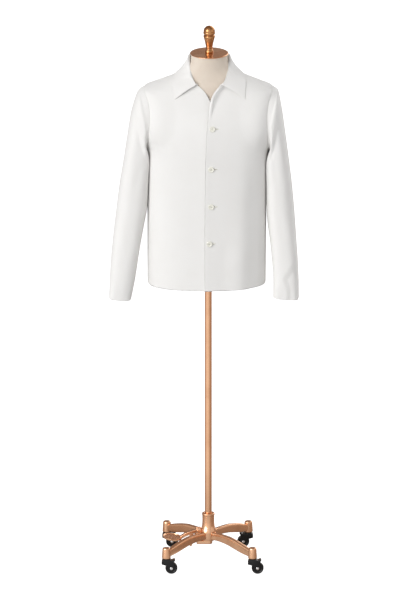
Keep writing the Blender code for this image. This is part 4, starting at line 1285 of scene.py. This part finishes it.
def dressForm():
    around = formCut["around"]
    bore = formCut["poleDiameter"] / 2 + formCut["boreClearance"]
    angle = 2 * np.pi * (np.arange(around) + 0.5) / around - np.pi

    def boreRing(z):
        return np.stack([bore * np.sin(angle), -bore * np.cos(angle), np.full(around, z)], axis=-1)

    heights = np.concatenate([np.arange(962, 1592, 7.0), np.arange(1592, 1640, 4.0),
        [1640, 1652, 1663, 1664]])
    edge = formRing(962, around)
    footRows = ((0.93, 0.0), (0.965, 0.1), (0.985, 1.2))
    foot = [edge * (s, s, 0) + (0, 0, formCut["bottomZ"] + up) for s, up in footRows]
    top = formRing(formCut["topZ"], around)
    lid = [top * (s, s, 1) + (3 * (1 - s), 0, 0) for s in (0.985, 0.5, 0.02)]
    skin = np.array([formRing(z, around) for z in heights])
    # the neck's root is averaged until it runs smoothly into the shoulders
    root = (heights > 1590) & (heights < 1640)
    for _ in range(formCut["neckPasses"]):
        skin[1:-1][root[1:-1], :, :2] = (skin[:-2] / 2 + skin[2:] / 2)[root[1:-1], :, :2]
    rings = [boreRing(z) for z in (formCut["boreTopZ"], 1400, 1200, formCut["bottomZ"])] + [foot[0] * (0.5,
        0.5, 1)] + foot
    points = np.array(rings + list(skin) + lid)
    uv = np.stack([runLengths(points, 1, around // 2), runLengths(points, 0)], axis=-1) / 1000
    return makeMesh("formBody", points, cappedFaces(len(points), around), natureLinen, uv=uv, sharpAngle=50)


capCut = {"diameter": 121.0, "thickness": 3.2, "segments": 144, "centreX": 3.0}


def neckCap():
    low = formCut["topZ"] + seam
    radius, thick = capCut["diameter"] / 2, capCut["thickness"]
    profile = rounded([
        (0.02, low), (radius - 1.6, low, 0.5), (radius, low + 0.9, 0.8), (radius, low + thick - 1.1, 0.8),
        (radius - 1.4, low + thick, 1.0), (0.02, low + thick),
    ], steps=5)
    return ringSolid("capPlate", turnedRings(profile, capCut["segments"], (capCut["centreX"], 0)), roseCopper)


def finialKnob():
    low = formCut["topZ"] + seam + capCut["thickness"] + seam
    profile = [
        (0.02, 0), (12.4, 0, 0.6), (13.0, 2.6, 1.2), (13.0, 6.4, 1.6), (11.6, 9.4, 1.2), (9.8, 11.6, 1.2),
        (9.6, 14.6, 1.2),
        (10.8, 16.2, 0.6), (11.0, 18.2, 0.6), (10.6, 19.4, 0.6), (11.4, 24, 3), (13.4, 34, 4),
        (16.0, 45, 3), (17.6, 50.4, 1.5),
        (18.3, 53.0, 1), (18.3, 55.4, 1), (17.2, 57.2, 0.8), (15.2, 58.4, 0.8), (15.0, 60.0, 0.8),
        (17.2, 61.2, 0.8),
        (18.6, 63.0, 1), (18.7, 66.6, 1), (17.9, 68.2, 0.6), (18.0, 72, 2), (16.8, 77.4, 3),
        (13.4, 82.6, 3), (8.4, 86.4, 3),
        (3.4, 87.8, 2), (0.02, 88.0),
    ]
    profile = [(r, h + low, *rest) for r, h, *rest in profile]
    return ringSolid("finialKnob", turnedRings(rounded(profile, steps=4), 72, (capCut["centreX"], 0)),
        paintedShadeBrass)


for piece, node, slotName in (
    (dressForm(), "form", "linen"), (neckCap(), "neck_cap", "rose_brass"),
    (finialKnob(), "finial", "rose_brass"),
):
    dress(piece, "dressed_form", node)
print("form made")


# ---- the stand

standCut = {
    "poleTopZ": 1300.0, "hubSocketZ": 100.0, "legWidth": 15.0, "bossLowZ": 50.0, "bossHighZ": 85.0,
    "bossLowRadius": 14.0, "bossHighRadius": 12.0, "wheelRadius": 19.0, "wheelWidth": 16.0, "trail": 16.0,
    "axleRadius": 2.5, "pivot": (-31.0, 100.0),
}
casters = {
    "front_left": ((139.0, -144.0), 1),
    "front_right": ((-132.0, -144.0), 1),
    "back_left": ((126.0, 144.0), -1),
    "back_right": ((-130.0, 144.0), 1),
}


def poleTube():
    radius = formCut["poleDiameter"] / 2
    low, top = standCut["hubSocketZ"] + seam, standCut["poleTopZ"]
    profile = rounded([(0.02, low), (radius, low, 0.6), (radius, top, 0.8), (0.02, top)])
    return ringSolid("poleTube", turnedRings(profile, 72), roseCopper)


def hubBody():
    bore = formCut["poleDiameter"] / 2 + formCut["boreClearance"]
    profile = rounded([
        (bore, 100), (bore, 128), (bore, 154, 0.5), (13, 156, 0.8), (18.6, 156, 0.8), (20, 154.4, 1.0),
        (20, 150.4, 1.0),
        (19, 148.8, 0.8), (18.8, 138), (18.9, 124, 6), (20, 112, 8), (23.2, 103, 6), (24.6, 96, 4),
        (24.6, 74, 3), (23.2, 68.6, 2),
        (20, 67, 1.2),
        (0.02, 67), (0.02, 99.7), (bore - 0.3, 99.8),
    ], steps=5)
    return ringSolid("hubCasting", turnedRings(profile, 96), roseCopper, capStart=False, capEnd=False)


def legArm(name, place):
    reach = math.hypot(*place)
    top = smoothTable("d z", (18, 96.5), (24.3, 96.6), (50, 97.5), (90, 97), (125, 92), (155, 85),
        (reach - 8, 75.5))
    low = smoothTable("d z", (18, 72), (24.3, 73), (50, 73), (90, 70), (125, 63), (155, 57), (reach - 8, 53))
    ways = np.concatenate([np.linspace(20, 30, 6), np.linspace(33, reach - 8, 44)])
    around, power = 40, 5.0
    turn = 2 * np.pi * (np.arange(around) + 0.5) / around
    spread = (np.abs(np.cos(turn)) ** power + np.abs(np.sin(turn)) ** power) ** (-1 / power)
    rings = []
    for d in ways:
        high, base = float(top(d).z), float(low(d).z)
        flare = 1 - float(ease(20, 44, d))
        half = standCut["legWidth"] / 2 + 2.6 * flare
        tall = (high - base) / 2 + 0.8 * flare
        rings.append(np.stack([
            np.full(around, d), half * np.cos(turn) * spread, (high + base) / 2 + tall * np.sin(turn) * spread
        ], axis=-1))
    arm = ringSolid(name, rings, roseCopper, sharpAngle=60)
    lowZ, highZ = standCut["bossLowZ"], standCut["bossHighZ"]
    r0, r1 = standCut["bossLowRadius"], standCut["bossHighRadius"]
    profile = rounded([
        (0.02, lowZ), (r0 - 1.2, lowZ, 0.8), (r0, lowZ + 1.4, 1.0), (r0 - 0.1, lowZ + 4, 1),
        (r1 + 0.1, highZ - 3.6, 1.5),
        (r1 - 1.6, highZ - 0.6, 1.6), (r1 - 5, highZ, 1.5), (0.02, highZ),
    ], steps=5)
    boss = ringSolid(name + "Boss", turnedRings(profile, 56, (reach, 0)), roseCopper)
    piece = joined(name, [arm, boss])
    spin = Matrix.Translation(Vector((poleFromOrigin / 1000, 0, 0))) @ Matrix.Rotation(math.atan2(place[1],
        place[0]), 4, "Z")
    piece.data.transform(spin @ Matrix.Translation(Vector((-poleFromOrigin / 1000, 0, 0))))
    return piece


def shifted(piece, place):
    piece.data.transform(Matrix.Translation(Vector((place[0], place[1], 0)) / 1000))
    return piece


def casterFork(name, place, way):
    # hood, two cheeks, neck and brake tab in one moulding, with the axle through it
    top = standCut["bossLowZ"] - 2.6
    outline = [
        (-15, 34), (-14.8, 38), (-14.3, 41.5), (-13, 45), (-10.5, top), (9, top), (15.5, 45.4),
        (18.2, 44.6), (20.6, 46.8),
        (26.6, 47.2), (28.2, 45.6), (27.6, 43.6), (24.2, 40.4), (25.2, 34), (24.9, 27), (22.6, 15.4),
        (20.8, 12.8),
        (18.6, 11.8), (13.4, 11.8), (11.2, 13), (9.6, 15.4), (5.6, 22.5), (2.6, 26.4), (-2, 28.4), (-8, 30),
        (-13.4, 31.2),
    ]
    outline = [(way * x, z) for x, z in outline]
    if way < 0:
        outline.reverse()
    body = softened(prism(name, outline, -11, 11, casterBlack), 1.1, 3)
    wheelX, wheelZ = way * standCut["trail"], standCut["wheelRadius"]
    half = standCut["wheelWidth"] / 2 + 0.5
    pocket = prism("pocket", disc(wheelX, wheelZ, wheelZ + 1.1, 48), -half, half, casterBlack)
    cutFrom(body, [pocket])
    axle = prism(name + "Axle", disc(wheelX, wheelZ, standCut["axleRadius"], 24), -12, 12, casterBlack)
    return shifted(joined(name, [body, axle]), place)


def casterStem(name, place):
    # the steel pin that the fork turns on, with its thin washer
    low, top = standCut["bossLowZ"] - 6, standCut["bossLowZ"] - 0.1
    profile = rounded([
        (0.02, low), (4.2, low, 0.3), (4.2, top - 1.4, 0.3), (7.6, top - 1.4, 0.3), (7.6, top, 0.3),
        (0.02, top)
    ])
    return ringSolid(name, turnedRings(profile, 40, place), axleSteel)


def axleRings(profile, place, way, count, side=1):
    # rings round a caster's axle through a profile of (radius, way along the axle)
    turn = 2 * np.pi * np.arange(count) / count
    wheelX, height = place[0] + way * standCut["trail"], standCut["wheelRadius"]
    return [
        np.stack([wheelX + r * np.sin(turn), np.full(count, place[1] + side * y),
            height - r * np.cos(turn)], axis=-1)
        for r, y in profile
    ]


def casterWheel(name, place, way):
    bore, half = standCut["axleRadius"] + 0.3, standCut["wheelWidth"] / 2
    radius = standCut["wheelRadius"]
    profile = [
        (bore, -half + 0.2), (6.3, -half + 0.2, 0.3), (6.9, -half + 0.9, 0.3), (12.6, -half + 1.4, 0.4),
        (13.6, -half + 0.7, 0.4),
        (15.6, -half, 0.8), (18.2, -half + 1.4, 1.2), (radius, -half + 3.2, 1.2), (radius, -0.9, 0.2),
        (radius - 0.5, -0.4, 0.2),
        (radius - 0.5, 0.4, 0.2), (radius, 0.9, 0.2), (radius, half - 3.2, 1.2), (18.2, half - 1.4, 1.2),
        (15.6, half, 0.8),
        (13.6, half - 0.7, 0.4), (12.6, half - 1.4, 0.4), (6.9, half - 0.9, 0.3), (6.3, half - 0.2, 0.3),
        (bore, half - 0.2),
        (bore, 0),
    ]
    rings = axleRings(rounded(profile, radius=0.3, steps=3), place, way, 96)
    rings.append(rings[0])
    return ringSolid(name, rings, tyreBlack, capStart=False, capEnd=False, sharpAngle=35)


def axleCaps(name, place, way):
    profile = rounded([(0.02, 10.6), (4.4, 10.6, 0.3), (4.6, 11.6, 0.5), (3.6, 12.6, 0.9), (0.02, 12.9)],
        radius=0.4)
    caps = [ringSolid(name + str(side), axleRings(profile, place, way, 40, side), axleSteel) for side in (1,
        -1)]
    return joined(name, caps)


def pedalBracket():
    x, z = standCut["pivot"]
    ear = [(-38, 96), (-38, 104), (-36, 106.2), (-34, 107), (-23.4, 107), (-23.4, 88), (-33, 90)]
    ears = [softened(prism("pedalEar", ear, low, low + 4, roseCopper), 0.7, 2) for low in (-10.5, 6.5)]
    pin = softened(prism("pedalPin", disc(x, z, 3, 28), -12, 12, roseCopper), 0.5, 2)
    return joined("pedalBracket", [*ears, pin])


def underPlate():
    outline = [(-37, -11), (-33, -15), (6, -15), (11, -10), (13, 0), (11, 10), (6, 15), (-33, 15), (-37, 11)]
    plate = softened(prism("underPlate", outline, 56, 66.7, roseCopper, across="z"), 1.6, 3)
    bolts = [
        ringSolid("bolt", turnedRings(rounded([(0.02, 56.2), (5, 56.2), (5, 53.6, 0.8), (0.02, 52.8)]), 6,
            (bx, 0)), roseCopper)
        for bx in (-22, 0)
    ]
    return joined("underPlate", [plate, *bolts])


def pedalLever():
    x, z = standCut["pivot"]
    knuckle = softened(prism("pedalLever", disc(x, z, 6.2, 40), -6, 6, roseCopper), 0.6, 2)
    hole = prism("pedalBore", disc(x, z, 3.3, 28), -13, 13, roseCopper)
    armLine = [(x - 0.5, z + 5.6), (x - 5.2, z - 5.9), (-70, 79.4), (-84, 72.2), (-88, 74.4), (-88, 80.5),
        (-84, 82), (-72, 90.6)]
    arm = softened(prism("pedalArm", armLine, -8.5, 8.5, roseCopper), 1.4, 3)
    stopLine = [(-46, 88), (-60, 84), (-60, 52), (-57.6, 46), (-55, 45), (-52.6, 46.4), (-50, 52)]
    catch = softened(prism("pedalStop", stopLine, -4, 4, roseCopper), 1.2, 3)
    plateX, plateZ, halfLength, halfWidth, tip = -113.0, 76.0, 30, 34, 3.6
    turn = 2 * np.pi * np.arange(72) / 72
    rings = []
    profile = rounded([
        (0.02, -2.4), (0.90, -2.4, 0.02), (0.965, -3.6, 0.02), (1.0, -1.4, 0.02), (1.0, 1.9, 0.02),
        (0.97, 3.0, 0.02), (0.925, 2.9, 0.02),
        (0.9, 0.9, 0.02), (0.86, 0.5, 0.02), (0.02, 0.5),
    ], radius=0.02)
    for s, h in profile:
        # the plate tips up a little towards its outer end
        along = np.cos(turn) * s
        rings.append(np.stack([
            plateX + halfLength * along, halfWidth * s * np.sin(turn), plateZ + h - tip * along
        ], axis=-1))
    plate = ringSolid("pedalPlate", rings, roseCopper)
    drills = []
    for px in range(-2, 3):
        for py in range(-3, 4):
            cx, cy = px * 9.2 + (4.6 if py % 2 else 0), py * 8.0
            if (cx / 24.5) ** 2 + (cy / 28.5) ** 2 < 1:
                drills.append((cx, cy))
    bits = [
        ringSolid("drill", turnedRings([(2.8, plateZ - 12), (2.8, plateZ + 12)], 16, (plateX + cx, cy)),
            roseCopper)
        for cx, cy in drills
    ]
    cutFrom(plate, [joined("drills", bits)])
    cutFrom(knuckle, [hole])
    return joined("pedalLever", [knuckle, arm, catch, plate])


standPieces = [
    (poleTube(), "pole", "stand"), (hubBody(), "hub", "stand"), (underPlate(), "underside_plate", "stand"),
    (pedalBracket(), "pedal_bracket", "stand"), (pedalLever(), "pedal", "pedal"),
]
for corner, (place, way) in casters.items():
    label = corner.title().replace("_", "")
    standPieces.append((legArm("leg" + label, place), "leg_" + corner, "stand"))
    dress(casterFork("fork" + label, place, way), "caster_" + corner, "swivel_" + corner)
    dress(casterStem("stem" + label, place), "caster_" + corner)
    dress(axleCaps("axleCaps" + label, place, way), "caster_" + corner)
    dress(casterWheel("wheel" + label, place, way), "rolling_" + corner, "wheel_" + corner)
for piece, node, body in standPieces:
    dress(piece, body, node)
print("stand made")


# ---- floor, light and camera

stageLook = {
    "floorColour": (0.55, 0.55, 0.55), "floorGlow": 0.9,
    "floorPaintedReflection": ((0.38, 0.27, 0.20), (0.9, 0.88, 0.86)), "floorReflectedColour": (0.12, 0.12, 0.12),
    "worldGrey": (0.70, 0.42),
    "keyPower": 1.9, "keyAngle": 40, "keyFrom": (-0.66, -0.68, 0.34),
    "fillPower": 0.4, "fillAngle": 60, "fillFrom": (0.95, -0.25, 0.2),
    "backPower": 0.9, "backAngle": 50, "backFrom": (0.55, 0.8, 0.35),
    "wallShine": ((0.32, 0.25, 0.21), (1.05, 1.05, 1.05)), "brightSide": (-0.45, -0.89, 0.0),
}


def shineTowards(tree, way, dark, bright):
    # what plated parts reflect: a bright side in front and a little to the left, darker round it
    unitWay = addNode(tree, "VectorMath", {0: way}, operation="NORMALIZE").outputs[0]
    facing = addNode(tree, "VectorMath", {0: unitWay, 1: stageLook["brightSide"]},
        operation="DOT_PRODUCT").outputs["Value"]
    return mixColour(tree, mapRange(tree, facing, -0.1, 1.0), (*dark, 1), (*bright, 1))


def whiteFloor():
    size = 14
    mesh = bpy.data.meshes.new("floor")
    mesh.from_pydata([(-size, -size, 0), (size, -size, 0), (size, size, 0), (-size, size, 0)], [],
        [(0, 1, 2, 3)])
    material, tree, shader = startMaterial("floorPaper", Roughness=0.9, Specular_IOR_Level=0.1)
    # painted reflection: in reflected rays the floor's colour is darker and it glows with a warm-dark to
    # white shine that depends on direction; camera rays see it glow evenly white
    glossy = addNode(tree, "LightPath").outputs["Is Glossy Ray"]
    colour = mixColour(tree, glossy, (*stageLook["floorColour"], 1), (*stageLook["floorReflectedColour"], 1))
    tree.links.new(colour, shader.inputs["Base Color"])
    seen = addNode(tree, "LightPath").outputs["Is Camera Ray"]
    place = addNode(tree, "TexCoord").outputs["Object"]
    away = addNode(tree, "VectorMath", {0: place}, operation="LENGTH").outputs["Value"]
    paintedReflection = shineTowards(tree, place, *stageLook["floorPaintedReflection"])
    tree.links.new(mixColour(tree, glossy, (1, 1, 1, 1), paintedReflection), shader.inputs["Emission Color"])
    # painted shade in the reflection: the reflected glow is dimmer near the base
    near = math2(tree, "MULTIPLY", glossy, mapRange(tree, away, 0.1, 1.0, 0.62, 1.0))
    glow = math2(tree, "MULTIPLY_ADD", seen, stageLook["floorGlow"], near)
    tree.links.new(glow, shader.inputs["Emission Strength"])
    mesh.materials.append(material)
    addObject("floor", mesh)


def sunLight(name, power, angle, source):
    light = bpy.data.lights.new(name, "SUN")
    light.energy, light.angle = power, math.radians(angle)
    addObject(name, light).rotation_euler = Vector(source).to_track_quat("Z", "Y").to_euler()


def studioWorld():
    # an even grey room, with brighter and darker walls only in what the plated parts reflect
    world = bpy.data.worlds.new("studio")
    bpy.context.scene.world = world
    world.use_nodes = True
    tree = world.node_tree
    background = tree.nodes["Background"]
    walls = shineTowards(tree, addNode(tree, "TexCoord").outputs["Generated"], *stageLook["wallShine"])
    glossy = addNode(tree, "LightPath").outputs["Is Glossy Ray"]
    up = addNode(tree, "SeparateXYZ", {0: addNode(tree, "TexCoord").outputs["Generated"]}).outputs[2]
    room = mixColour(tree, mapRange(tree, up, 0.1, 1.0, *stageLook["worldGrey"]), (0, 0, 0, 1), (1, 1, 1, 1))
    colour = mixColour(tree, glossy, room, walls)
    seen = addNode(tree, "LightPath").outputs["Is Camera Ray"]
    tree.links.new(mixColour(tree, seen, colour, (1, 1, 1, 1)), background.inputs[0])


whiteFloor()
studioWorld()
for kind in ("key", "fill", "back"):
    sunLight(kind + "Light", *(stageLook[kind + part] for part in ("Power", "Angle", "From")))

cameraSet = {"elevation": 17.0, "scale": 0.003143, "poleX": 208.3, "footY": 560.0, "distance": 8.0}
lens = bpy.data.cameras.new("camera")
lens.type = "ORTHO"
lens.ortho_scale = 600 * cameraSet["scale"]
lens.clip_end = 60
camera = addObject("camera", lens)
bpy.context.scene.camera = camera
tilt = math.radians(cameraSet["elevation"])
back = Vector((0, -math.cos(tilt), math.sin(tilt)))
target = Vector((
    poleFromOrigin / 1000 - (cameraSet["poleX"] - 200) * cameraSet["scale"], 0,
    (cameraSet["footY"] - 300) * cameraSet["scale"] / math.cos(tilt),
))
camera.location = target + back * cameraSet["distance"]
camera.rotation_euler = back.to_track_quat("Z", "Y").to_euler()
bpy.context.scene.view_settings.view_transform = "Standard"
print("stage and camera set")
